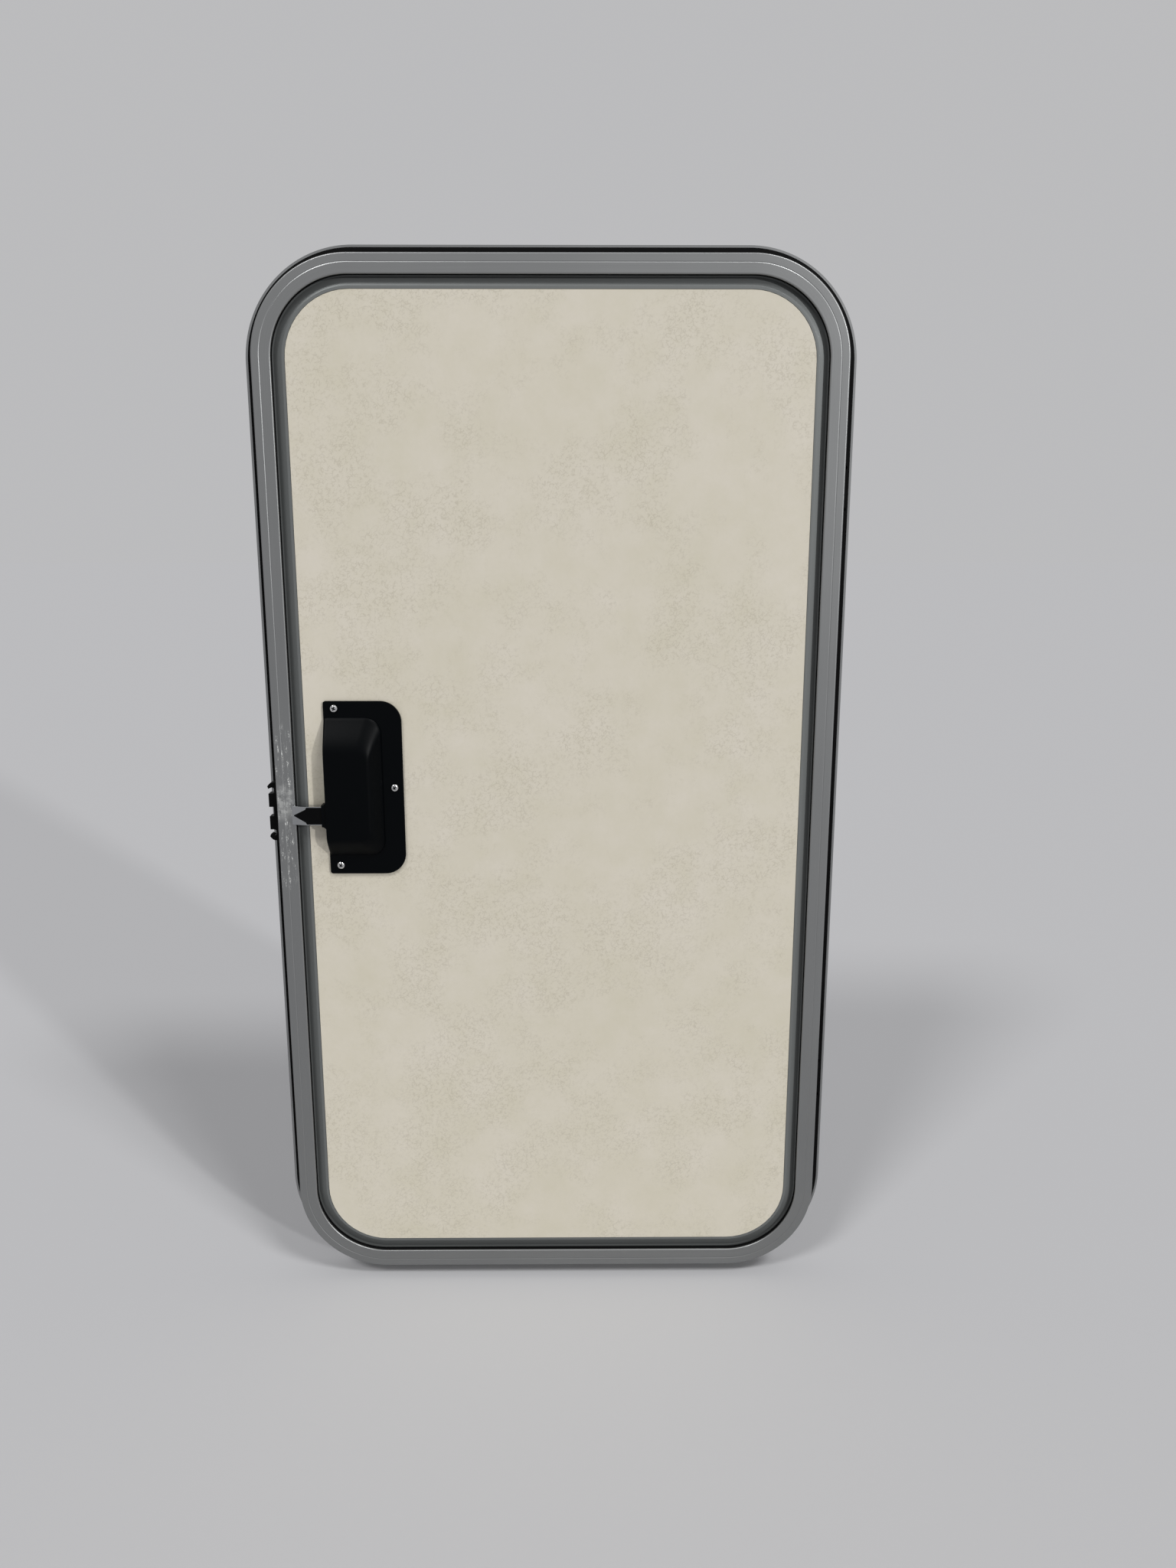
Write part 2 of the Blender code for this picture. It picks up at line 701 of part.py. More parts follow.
def make_hinges(mats, leaf):
    for label, level in (("upper", HINGE_Z), ("lower", -HINGE_Z)):
        bottom = level - HINGE_L / 2
        top = level + HINGE_L / 2
        mid_low = level - HINGE_MID / 2
        mid_high = level + HINGE_MID / 2
        plate_y = FLANGE_Y + FIT
        clear_x = HINGE_KNUCKLE_R + 2 * FIT
        gap_low = mid_low - FIT - HINGE_END_IN
        gap_high = mid_high + FIT + HINGE_END_IN
        foot = bottom + HINGE_END_IN
        head = top - HINGE_END_IN
        frame_half = add(
            "hinge_" + label + "_frame_half",
            post(HINGE_KNUCKLE_R, HINGE_X, HINGE_Y, bottom, mid_low - FIT),
            mats["hinge_steel"],
        )
        unite(frame_half, post(HINGE_KNUCKLE_R, HINGE_X, HINGE_Y, mid_high + FIT, top), "knuckle")
        right = HINGE_X + HINGE_FRAME_W
        root = HINGE_X - HINGE_ROOT
        far = HINGE_X + clear_x
        outline = [(root, foot), (right, foot), (right, head), (root, head)]
        outline += [(root, gap_high), (far, gap_high), (far, gap_low), (root, gap_low)]
        unite(frame_half, prism(outline, plate_y, plate_y + HINGE_PLATE_T), "plate")
        cut(frame_half, pin_bore(bottom, top), "bore")
        leaf_y = LEAF_OUT_Y + FIT
        leaf_half = add(
            "hinge_" + label + "_leaf_half",
            post(HINGE_KNUCKLE_R, HINGE_X, HINGE_Y, mid_low, mid_high),
            mats["hinge_steel"],
            leaf,
        )
        left = HINGE_X - HINGE_LEAF_W
        near = HINGE_X - clear_x
        tongue_low = mid_low + HINGE_END_IN
        tongue_high = mid_high - HINGE_END_IN
        root = HINGE_X + HINGE_ROOT
        outline = [(left, foot), (near, foot), (near, tongue_low), (root, tongue_low)]
        outline += [(root, tongue_high), (near, tongue_high), (near, head), (left, head)]
        unite(leaf_half, prism(outline, leaf_y, leaf_y + HINGE_PLATE_T), "plate")
        cut(leaf_half, pin_bore(bottom, top), "bore")
        rivet_x = HINGE_X + HINGE_RIVET_IN
        screw_x = HINGE_X - HINGE_SCREW_IN
        spots = {"low": level - HINGE_SCREW_AT, "high": level + HINGE_SCREW_AT}
        holes = [rod(RIVET_R + FIT, rivet_x, z, 0, HINGE_Y, HOLE_STEPS) for z in spots.values()]
        cut(frame_half, merge(holes), "rivet_holes")
        holes = [rod(SCREW_SHANK_R + FIT, screw_x, z, 0, BEYOND, HOLE_STEPS) for z in spots.values()]
        cut(leaf_half, merge(holes), "screw_holes")
        pin_profile = [
            (0, -HINGE_L / 2 - FIT - HINGE_PIN_HEAD_T),
            (HINGE_PIN_HEAD_R, -HINGE_L / 2 - FIT - HINGE_PIN_HEAD_T),
            (HINGE_PIN_HEAD_R, -HINGE_L / 2 - FIT),
            (HINGE_PIN_R, -HINGE_L / 2 - FIT),
            (HINGE_PIN_R, HINGE_L / 2 + FIT),
            (HINGE_PIN_HEAD_R, HINGE_L / 2 + FIT),
            (HINGE_PIN_HEAD_R, HINGE_L / 2 + FIT + HINGE_PIN_HEAD_T),
            (0, HINGE_L / 2 + FIT + HINGE_PIN_HEAD_T),
        ]
        add(
            "hinge_" + label + "_pin",
            turned(pin_profile, HINGE_X, HINGE_Y, level, "Z"),
            mats["zinc_steel"],
        )
        head_y = plate_y + HINGE_PLATE_T + FIT
        tail_y = CHANNEL_DEEP - FIT
        rivet = [
            (0, SEAL_SINK),
            (RIVET_TAIL_R, SEAL_SINK),
            (RIVET_TAIL_R, tail_y),
            (RIVET_R, tail_y),
            (RIVET_R, head_y),
            (RIVET_HEAD_R, head_y),
            (RIVET_HEAD_R * 0.75, head_y + RIVET_HEAD_H * 0.7),
            (0, head_y + RIVET_HEAD_H),
        ]
        screw_y = leaf_y + HINGE_PLATE_T + FIT
        for spot, z in spots.items():
            name = "hinge_" + label + "_rivet_" + spot
            add(name, turned(rivet, rivet_x, 0, z, "Y", HOLE_STEPS), mats["zinc_steel"])
            name = "hinge_" + label + "_screw_" + spot
            made = add(name, screw(screw_x, z, screw_y, HINGE_SCREW_L, -1), mats["zinc_steel"], leaf)
            across, upright = recess(screw_x, z, screw_y + SCREW_HEAD_H, -1)
            cut(made, across, "slot_across")
            cut(made, upright, "slot_upright")


def pin_bore(bottom, top):
    return post(HINGE_PIN_R + SHAFT_FIT, HINGE_X, HINGE_Y, bottom - OVERRUN, top + OVERRUN)


def core_solid():
    """The leaf's whole foam filling, stepped at its edge to clear the edge extrusion's ledge."""
    back_y = SKIN_IN_Y - FIT
    step_y = REST_Y + RIM_WALL + FIT
    ledge_in = -(PANEL_INSET + RIM_LEDGE + FIT)
    wide = door_loop(SKIN_EDGE)
    narrow = door_loop(ledge_in)
    return loft([(wide, back_y), (wide, step_y), (narrow, step_y), (narrow, PANEL_BACK_Y + FIT)])


def core_blocks():
    """The filling's four blocks round the latch opening: name, then x and z from and to."""
    edge_x = FACE_W / 2
    edge_z = FACE_H / 2
    gap = FIT / 2
    left, right = PAN_X0 - PAN_HOLE_FIT, PAN_X1 + PAN_HOLE_FIT
    low, high = PAN_Z0 - PAN_HOLE_FIT, PAN_Z1 + PAN_HOLE_FIT
    return {
        "foam_core_upper": (-edge_x, edge_x, high + gap, edge_z),
        "foam_core_lower": (-edge_x, edge_x, -edge_z, low - gap),
        "foam_core_latch_side": (-edge_x, left, low + gap, high - gap),
        "foam_core_hinge_side": (right, edge_x, low + gap, high - gap),
    }


def inside(block_of, points, margin):
    """The points that lie within a block, or nearer to it than a margin."""
    x0, x1, z0, z1 = block_of
    return [
        (x, z)
        for x, z in points
        if x0 - margin < x < x1 + margin and z0 - margin < z < z1 + margin
    ]


def make_core(mats, leaf):
    cam_y = key_end_y() - CAM_T - 2 * FIT - CAM_ROOM
    hinge_spots = [(HINGE_X - HINGE_SCREW_IN, z) for z in rivet_levels()]
    for name, bounds in core_blocks().items():
        x0, x1, z0, z1 = bounds
        core = add(name, core_solid(), mats["white_foam"], leaf)
        combine(core, block(x0, x1, -BEYOND, BEYOND, z0, z1), "INTERSECT", "block")
        for x, z in inside(bounds, SCREWS.values(), BOSS_R + BOSS_FIT):
            cut(core, rod(BOSS_R + BOSS_FIT, x, z, boss_end() - BOSS_FIT, BEYOND), "boss_hole")
            shank = rod(SCREW_SHANK_R + FIT, x, z, -BEYOND, boss_end() + OVERRUN, HOLE_STEPS)
            cut(core, shank, "screw_hole")
        for x, z in inside(bounds, [(KEY_X, KEY_Z)], KEY_NUT_R + KEY_ROOM):
            cut(core, rod(KEY_NUT_R + KEY_ROOM, x, z, cam_y, BEYOND), "cylinder_pocket")
        for x, z in inside(bounds, hinge_spots, SCREW_SHANK_R + FIT):
            tip = rod(SCREW_SHANK_R + FIT, x, z, hinge_screw_end(), BEYOND, HOLE_STEPS)
            cut(core, tip, "hinge_screw_hole")


def make_leaf(mats, leaf):
    skin = add("outer_skin", prism(door_loop(SKIN_EDGE), SKIN_IN_Y, SKIN_Y), mats["white_skin"], leaf)
    panel = prism(door_loop(-PANEL_INSET), PANEL_Y, PANEL_BACK_Y)
    panel = add("inner_panel", panel, mats["decor_panel"], leaf)
    edge = add("edge_profile", ring(edge_section()), mats["edge_aluminium"], leaf)
    for piece in (skin, panel):
        cut(piece, prism(pan_loop(-PAN_HOLE_FIT), -BEYOND, BEYOND), "lock_opening")
    bosses = [rod(BOSS_R + BOSS_FIT, x, z, SKIN_IN_Y - OVERRUN, BEYOND) for x, z in SCREWS.values()]
    cut(skin, merge(bosses), "boss_holes")
    shanks = [
        rod(SCREW_SHANK_R + FIT, x, z, -BEYOND, BEYOND, HOLE_STEPS) for x, z in SCREWS.values()
    ]
    cut(panel, merge(shanks), "screw_holes")
    cut(skin, rod(KEY_NUT_R + KEY_ROOM, KEY_X, KEY_Z, SKIN_IN_Y - OVERRUN, BEYOND), "cylinder_hole")
    for piece in (skin, edge):
        screws = [
            rod(SCREW_SHANK_R + FIT, HINGE_X - HINGE_SCREW_IN, z, hinge_screw_end(), BEYOND, HOLE_STEPS)
            for z in rivet_levels()
        ]
        cut(piece, merge(screws), "hinge_screw_holes")


def hinge_screw_end():
    """Where the holes for the hinge screws' tips end inside the leaf."""
    return LEAF_OUT_Y + 2 * FIT + HINGE_PLATE_T - HINGE_SCREW_L - FIT


def boss_end():
    return PLATE_BACK_Y - BOSS_L


def key_end_y():
    return PLATE_Y + FIT - KEY_BODY_L


def cover_loop():
    radii = [COVER_R_RIGHT, COVER_R_LEFT, COVER_R_LEFT, COVER_R_RIGHT]
    return box_loop(COVER_X0, COVER_X1, COVER_Z0, COVER_Z1, radii, COVER_STEPS)


def dome_levels(inset, base_y, lower):
    """Loops of the cover's dome; inset and lower shrink it to give the inside of the wall."""
    levels = []
    shares = [(0.0, 0.0), (0.04, 0.10), (0.66, 0.76), (0.80, 0.89), (0.92, 0.97), (1.06, 1.0)]
    top_y = DOME_Y + lower
    for run, rise in shares:
        x0 = COVER_X0 + inset + DOME_LEFT_LEAN * rise
        x1 = COVER_X1 - DOME_RIGHT_IN - inset - DOME_RUN_RIGHT * run
        z1 = COVER_Z1 - DOME_TOP_IN - inset - DOME_RUN_TOP * run
        z0 = COVER_Z0 + DOME_BOTTOM_IN + inset + DOME_RUN_BOTTOM * run
        right_top = DOME_R_TOP + DOME_R_TOP_GAIN * run - inset
        right_low = DOME_R_LOW - DOME_R_LOW_LOSS * run - inset
        left = DOME_R_LEFT - inset / 2
        radii = [right_top, left, left, right_low]
        levels.append((box_loop(x0, x1, z0, z1, radii, COVER_STEPS), base_y + (top_y - base_y) * rise))
    return levels


def collar_loop(grow):
    half = BOLT_H / 2 + FIT + grow
    return [
        (BOLT_BACK_Y + FIT + min(grow, COLLAR_WALL), BOLT_Z - half),
        (BOLT_BACK_Y + FIT + min(grow, COLLAR_WALL), BOLT_Z + half),
        (BOLT_FRONT_Y - FIT - min(grow, COLLAR_WALL), BOLT_Z + half),
        (BOLT_FRONT_Y - FIT - min(grow, COLLAR_WALL), BOLT_Z - half),
    ]


def collar():
    """The flared collar round the bolt's way out of the cover."""
    bm = bmesh.new()
    before = None
    for k in range(COLLAR_STEPS + 1):
        share = k / COLLAR_STEPS
        x = COVER_X0 + OVERRUN - (COLLAR_OUT + OVERRUN) * share
        grow = COLLAR_WALL + COLLAR_FLARE * (1 - share) ** COLLAR_CURVE
        verts = [bm.verts.new((x, y, CENTRE_Z + z)) for y, z in collar_loop(grow)]
        if before is None:
            bm.faces.new(verts)
        else:
            for j in range(4):
                bm.faces.new((before[j - 1], before[j], verts[j], verts[j - 1]))
        before = verts
    bm.faces.new(before)
    return bm


def make_cover(mats, leaf):
    cover = add("lock_cover", prism(cover_loop(), COVER_Y, COVER_BACK_Y), mats["black_abs"], leaf)
    unite(cover, loft(dome_levels(0, COVER_Y + DOME_ROOT, 0)), "dome")
    unite(cover, collar(), "collar")
    hollow = dome_levels(COVER_WALL, COVER_Y + DOME_ROOT, COVER_WALL)
    base = hollow[0][0]
    cut(cover, loft([(base, COVER_BACK_Y + OVERRUN)] + hollow), "hollow")
    bolt_way = block(
        COVER_X0 - BEYOND,
        COVER_X0 + COVER_WALL + DOME_LEFT_LEAN + OVERRUN,
        BOLT_FRONT_Y - FIT,
        BOLT_BACK_Y + FIT,
        BOLT_Z - BOLT_H / 2 - FIT,
        BOLT_Z + BOLT_H / 2 + FIT,
    )
    cut(cover, bolt_way, "bolt_way")
    holes = [
        rod(SCREW_SHANK_R + FIT, x, z, COVER_Y - OVERRUN, COVER_BACK_Y + OVERRUN, HOLE_STEPS)
        for x, z in SCREWS.values()
    ]
    cut(cover, merge(holes), "screw_holes")
    for label, (x, z) in SCREWS.items():
        seat_y = COVER_Y - FIT
        made = add("cover_screw_" + label, screw(x, z, seat_y, SCREW_L, 1), mats["zinc_steel"], leaf)
        across, upright = recess(x, z, seat_y - SCREW_HEAD_H, 1)
        cut(made, across, "slot_across")
        cut(made, upright, "slot_upright")


def make_guide(mats, leaf):
    half = BOLT_H / 2 + GUIDE_SIDE_FIT
    left = COVER_X0 + COVER_WALL + DOME_LEFT_LEAN + FIT
    stop = BOLT_X1 + SPRING_L + 2 * FIT
    right = stop + GUIDE_WALL
    base_y = BOLT_BACK_Y + FIT
    roof_y = DOME_Y + COVER_WALL + FIT
    base_back = base_y + GUIDE_BASE_T
    low = BOLT_Z - half - GUIDE_WALL
    high = BOLT_Z + half + GUIDE_WALL
    guide = add("bolt_guide", block(left, right, base_y, base_back, low, high), mats["black_plastic"], leaf)
    walls = block(left, right, roof_y, base_y + OVERRUN, low, high)
    unite(guide, walls, "walls")
    channel = block(left - OVERRUN, stop, roof_y - OVERRUN, base_y, BOLT_Z - half, BOLT_Z + half)
    cut(guide, channel, "channel")
    cut(guide, arm_slot(), "arm_slot")


def arm_slot():
    """The way through the pan's floor and the guide in which the handle's arm swings."""
    half = ARM_W / 2 + ARM_ROOM
    reach = (PIVOT_Y - BOLT_BACK_Y) * math.tan(HANDLE_SWING)
    x0 = PIVOT_X - ARM_T / 2 - ARM_ROOM
    x1 = PIVOT_X + reach + ARM_T / 2 + ARM_ROOM
    y1 = PAN_BACK_Y + PAN_WALL + OVERRUN
    return block(x0, x1, BOLT_BACK_Y - OVERRUN, y1, BOLT_Z - half, BOLT_Z + half)


def spring_coil():
    """A round wire swept along a helix, with its end turns closed up."""
    bm = bmesh.new()
    count = SPRING_TURNS * SPRING_STEPS
    start = BOLT_X1 + FIT + SPRING_WIRE_R
    run = SPRING_L - 2 * SPRING_WIRE_R
    centre_y = (BOLT_BACK_Y + BOLT_FRONT_Y) / 2
    before = None
    for k in range(count + 1):
        share = k / count
        open_share = (share - SPRING_END_SHARE) / (1 - 2 * SPRING_END_SHARE)
        eased = min(1, max(0, open_share))
        x = start + run * (SPRING_END_RUN * share + (1 - SPRING_END_RUN) * eased)
        angle = 2 * math.pi * k / SPRING_STEPS
        verts = []
        for j in range(SPRING_SIDES):
            tilt = 2 * math.pi * j / SPRING_SIDES
            radius = SPRING_R + SPRING_WIRE_R * math.cos(tilt)
            y = centre_y + radius * math.cos(angle)
            z = CENTRE_Z + BOLT_Z + radius * math.sin(angle)
            verts.append(bm.verts.new((x + SPRING_WIRE_R * math.sin(tilt), y, z)))
        if before is None:
            bm.faces.new(verts)
        else:
            for j in range(SPRING_SIDES):
                bm.faces.new((before[j - 1], before[j], verts[j], verts[j - 1]))
        before = verts
    bm.faces.new(before)
    return bm


def make_bolt(mats, leaf, bolt):
    low = BOLT_Z - BOLT_H / 2
    high = BOLT_Z + BOLT_H / 2
    nose_y = BOLT_FRONT_Y + BOLT_NOSE_DROP
    side = [
        (BOLT_X0, BOLT_BACK_Y),
        (BOLT_X0, nose_y),
        (BOLT_X0 + BOLT_NOSE, BOLT_FRONT_Y),
        (BOLT_X1, BOLT_FRONT_Y),
        (BOLT_X1, BOLT_BACK_Y),
    ]
    body = bmesh.new()
    lower = body.faces.new([body.verts.new((x, y, CENTRE_Z + low)) for x, y in side])
    made = bmesh.ops.extrude_face_region(body, geom=[lower])["geom"]
    lifted = [item for item in made if isinstance(item, bmesh.types.BMVert)]
    bmesh.ops.translate(body, verts=lifted, vec=(0, 0, high - low))
    steel = add("latch_bolt", body, mats["chrome"], bolt)
    cut(steel, insert_shape(0), "insert_recess")
    pocket = block(
        PIVOT_X - ARM_T / 2 - ARM_BACKLASH,
        PIVOT_X + ARM_T / 2 + FIT,
        BOLT_BACK_Y - ARM_TIP_DEEP - ARM_ROOM,
        BOLT_BACK_Y + OVERRUN,
        BOLT_Z - ARM_W / 2 - FIT,
        BOLT_Z + ARM_W / 2 + FIT,
    )
    cut(steel, pocket, "arm_pocket")
    add("bolt_insert", insert_shape(FIT), mats["black_plastic"], bolt)
    add("bolt_spring", spring_coil(), mats["zinc_steel"], leaf)


def insert_shape(fit):
    """The black wedge let into the bolt's front; fit shrinks it inside its recess."""
    half = BOLT_H / 2 - INSERT_EDGE - fit
    point = INSERT_V_H / 2 - fit
    tip = BOLT_X0 + INSERT_TIP + 2.2 * fit
    base = BOLT_X0 + BOLT_NOSE
    end = COVER_X0 + INSERT_UNDER_COVER - fit
    step = base + INSERT_STEP
    points = [(tip, BOLT_Z), (base, BOLT_Z + point), (step, BOLT_Z + half)]
    points += [(end, BOLT_Z + half), (end, BOLT_Z - half)]
    points += [(step, BOLT_Z - half), (base, BOLT_Z - point)]
    slope = BOLT_NOSE_DROP / BOLT_NOSE
    floor = INSERT_DEEP - fit
    proud = 0.0 if fit else BOLT_NOSE_DROP + OVERRUN
    bm = bmesh.new()
    rings = []
    for lift in (floor, -proud):
        verts = []
        for x, z in points:
            surface = BOLT_FRONT_Y + slope * max(0, base - x)
            verts.append(bm.verts.new((x, surface + lift, CENTRE_Z + z)))
        rings.append(verts)
    count = len(points)
    for verts in rings:
        bm.faces.new((verts[0], verts[1], verts[-1]))
        bm.faces.new(verts[1:])
    for k in range(count):
        bm.faces.new((rings[0][k - 1], rings[0][k], rings[1][k], rings[1][k - 1]))
    return bm


def make_outer_plate(mats, leaf):
    outline = plate_loop(0)
    solid = loft(
        [(outline, PLATE_BACK_Y), (outline, PLATE_Y - PLATE_CHAMFER), (plate_loop(PLATE_CHAMFER), PLATE_Y)]
    )
    plate = add("handle_plate", solid, mats["black_abs"], leaf)
    unite(plate, prism(pan_loop(0), PAN_BACK_Y, PLATE_BACK_Y + OVERRUN), "pan")
    bosses = [rod(BOSS_R, x, z, boss_end(), PLATE_BACK_Y + OVERRUN) for x, z in SCREWS.values()]
    unite(plate, merge(bosses), "bosses")
    inner = pan_loop(PAN_WALL)
    mouth = pan_loop(PAN_WALL - PAN_CHAMFER)
    hollow = loft(
        [
            (inner, PAN_BACK_Y + PAN_WALL),
            (inner, PLATE_Y - PAN_CHAMFER),
            (mouth, PLATE_Y),
            (mouth, PLATE_Y + OVERRUN),
        ]
    )
    cut(plate, hollow, "pan_hollow")
    pilots = [
        rod(SCREW_SHANK_R + FIT, x, z, boss_end() - OVERRUN, PLATE_BACK_Y - OVERRUN, HOLE_STEPS)
        for x, z in SCREWS.values()
    ]
    cut(plate, merge(pilots), "pilot_holes")
    cut(plate, rod(KEY_BODY_R + FIT, KEY_X, KEY_Z, PLATE_BACK_Y - OVERRUN, BEYOND), "cylinder_hole")
    cut(plate, arm_slot(), "arm_slot")
    holes = post(PIN_R + FIT, PIVOT_X, PIVOT_Y, PAN_Z0 - OVERRUN, PAN_Z1 + OVERRUN, HOLE_STEPS)
    cut(plate, holes, "pin_holes")
    pin = post(PIN_R, PIVOT_X, PIVOT_Y, PAN_Z0 + FIT, PAN_Z1 - FIT, HOLE_STEPS)
    add("handle_pin", pin, mats["zinc_steel"], leaf)


def plate_loop(inset):
    """The outer plate's outline, taken in by an inset."""
    radii = [PLATE_R - inset] * 4
    return box_loop(
        COVER_X0 + inset, COVER_X1 - inset, COVER_Z0 + inset, COVER_Z1 - inset, radii, COVER_STEPS
    )


def pan_loop(inset):
    """The finger pan's outline, taken in by an inset."""
    radii = [PAN_R - inset] * 4
    return box_loop(PAN_X0 + inset, PAN_X1 - inset, PAN_Z0 + inset, PAN_Z1 - inset, radii, PAN_STEPS)


def make_handle(mats, handle):
    low = PAN_Z0 + PAN_WALL + PADDLE_END_GAP
    high = PAN_Z1 - PAN_WALL - PADDLE_END_GAP
    left = PIVOT_X - PADDLE_LEFT
    right = left + PADDLE_W
    under = PIVOT_Y + PADDLE_RISE
    over = under + PADDLE_T
    grip = under - GRIP_DEEP
    side = [(left, under), (right - GRIP_T, under)]
    side += arc((right - GRIP_T / 2, grip + GRIP_T / 2), GRIP_T / 2, 180, 360, 6)
    side += [(right, over - PADDLE_EDGE), (right - PADDLE_EDGE, over)]
    side += [(left + PADDLE_EDGE, over), (left, over - PADDLE_EDGE)]
    body = bmesh.new()
    lower = body.faces.new([body.verts.new((x, y, CENTRE_Z + low)) for x, y in side])
    made = bmesh.ops.extrude_face_region(body, geom=[lower])["geom"]
    lifted = [item for item in made if isinstance(item, bmesh.types.BMVert)]
    bmesh.ops.translate(body, verts=lifted, vec=(0, 0, high - low))
    paddle = add("pull_handle", body, mats["black_abs"], handle)
    unite(paddle, post(PIVOT_R, PIVOT_X, PIVOT_Y, low, high), "barrel")
    half = PADDLE_WEB_T / 2
    unite(paddle, block(PIVOT_X - half, PIVOT_X + half, PIVOT_Y, under + OVERRUN, low, high), "web")
    tip = BOLT_BACK_Y - ARM_TIP_DEEP
    arm = block(
        PIVOT_X - ARM_T / 2, PIVOT_X + ARM_T / 2, tip, PIVOT_Y, BOLT_Z - ARM_W / 2, BOLT_Z + ARM_W / 2
    )
    unite(paddle, arm, "arm")
    bore = post(PIN_R + SHAFT_FIT, PIVOT_X, PIVOT_Y, low - OVERRUN, high + OVERRUN, HOLE_STEPS)
    cut(paddle, bore, "bore")


def make_key(mats, leaf, key):
    end = key_end_y()
    seat = PLATE_Y + FIT
    profile = [
        (KEY_PLUG_R + SHAFT_FIT, end),
        (KEY_BODY_R, end),
        (KEY_BODY_R, seat),
        (KEY_FLANGE_R, seat),
        (KEY_FLANGE_R, seat + KEY_FLANGE_T - KEY_EDGE),
        (KEY_FLANGE_R - KEY_EDGE, seat + KEY_FLANGE_T),
        (KEY_PLUG_R + SHAFT_FIT, seat + KEY_FLANGE_T),
        (KEY_PLUG_R + SHAFT_FIT, end),
    ]
    add("key_cylinder", turned(profile, KEY_X, 0, KEY_Z), mats["zinc_steel"], leaf)
    nut = [(0, 0), (KEY_NUT_R, 0), (KEY_NUT_R, KEY_NUT_T), (0, KEY_NUT_T)]
    nut_y = PLATE_BACK_Y - FIT - KEY_NUT_T
    nut = add("cylinder_nut", turned(nut, KEY_X, nut_y, KEY_Z, "Y", 6), mats["zinc_steel"], leaf)
    thread = rod(KEY_BODY_R + FIT, KEY_X, KEY_Z, nut_y - OVERRUN, nut_y + KEY_NUT_T + OVERRUN)
    cut(nut, thread, "thread")
    top = seat + KEY_FLANGE_T + KEY_PLUG_PROUD
    plug = [
        (0, end - FIT),
        (KEY_PLUG_R, end - FIT),
        (KEY_PLUG_R, top - KEY_EDGE),
        (KEY_PLUG_R - KEY_EDGE, top),
        (0, top),
    ]
    plug = add("key_plug", turned(plug, KEY_X, 0, KEY_Z), mats["chrome"], key)
    half_w = KEY_SLOT_W / 2
    half_h = KEY_SLOT_H / 2
    deep = top - KEY_SLOT_DEEP
    slot = block(
        KEY_X - half_w, KEY_X + half_w, deep, top + OVERRUN, KEY_Z - half_h, KEY_Z + half_h
    )
    cut(plug, slot, "key_slot")
    cam_y = end - 2 * FIT - CAM_T
    outline = arc((KEY_X, KEY_Z), KEY_BODY_R * 0.8, 0, 180, 8)
    outline += arc((KEY_X, KEY_Z - CAM_L + CAM_W / 2), CAM_W / 2, 180, 360, 6)
    add("lock_cam", prism(outline, cam_y, cam_y + CAM_T), mats["zinc_steel"], key)


def build():
    clear_scene()
    mats = {
        "frame_aluminium": material("frame_aluminium", (0.34, 0.345, 0.35), 0.38, 1.0),
        "edge_aluminium": material("edge_aluminium", (0.36, 0.365, 0.37), 0.42, 1.0),
        "decor_panel": material("decor_panel", (0.62, 0.58, 0.50), 0.55, 0.0),
        "white_skin": material("white_skin", (0.80, 0.80, 0.78), 0.35, 0.0),
        "white_foam": material("white_foam", (0.85, 0.86, 0.88), 0.90, 0.0),
        "black_abs": material("black_abs", (0.018, 0.021, 0.026), 0.45, 0.0),
        "black_plastic": material("black_plastic", (0.015, 0.015, 0.017), 0.50, 0.0),
        "black_rubber": material("black_rubber", (0.012, 0.012, 0.012), 0.80, 0.0),
        "chrome": material("chrome", (0.75, 0.76, 0.78), 0.12, 1.0),
        "zinc_steel": material("zinc_steel", (0.60, 0.61, 0.62), 0.30, 1.0),
        "hinge_steel": material("hinge_steel", (0.50, 0.51, 0.52), 0.40, 1.0),
    }
    leaf = pivot("leaf_axis", (HINGE_X, HINGE_Y, CENTRE_Z))
    bolt = pivot("bolt_axis", (BOLT_X0, (BOLT_BACK_Y + BOLT_FRONT_Y) / 2, CENTRE_Z + BOLT_Z), leaf)
    handle = pivot("handle_axis", (PIVOT_X, PIVOT_Y, CENTRE_Z + BOLT_Z), leaf)
    key = pivot("key_axis", (KEY_X, PLATE_Y, CENTRE_Z + KEY_Z), leaf)
    make_frame(mats)
    make_keeper(mats)
    make_hinges(mats, leaf)
    make_leaf(mats, leaf)
    make_core(mats, leaf)
    make_cover(mats, leaf)
    make_guide(mats, leaf)
    make_bolt(mats, leaf, bolt)
    make_outer_plate(mats, leaf)
    make_handle(mats, handle)
    make_key(mats, leaf, key)


build()
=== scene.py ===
# %% [markdown]
# A service door of a caravan, seen from inside: a bent aluminium frame, a leaf with a printed wall
# board, and a black cover over the latch. The solids were modelled first, so that sizes, hinges and
# latch are right. This notebook loads them and gives each visible surface its real shape and finish.

# %% Load the solids
import math

import bmesh
import bpy
from mathutils import Matrix, Vector


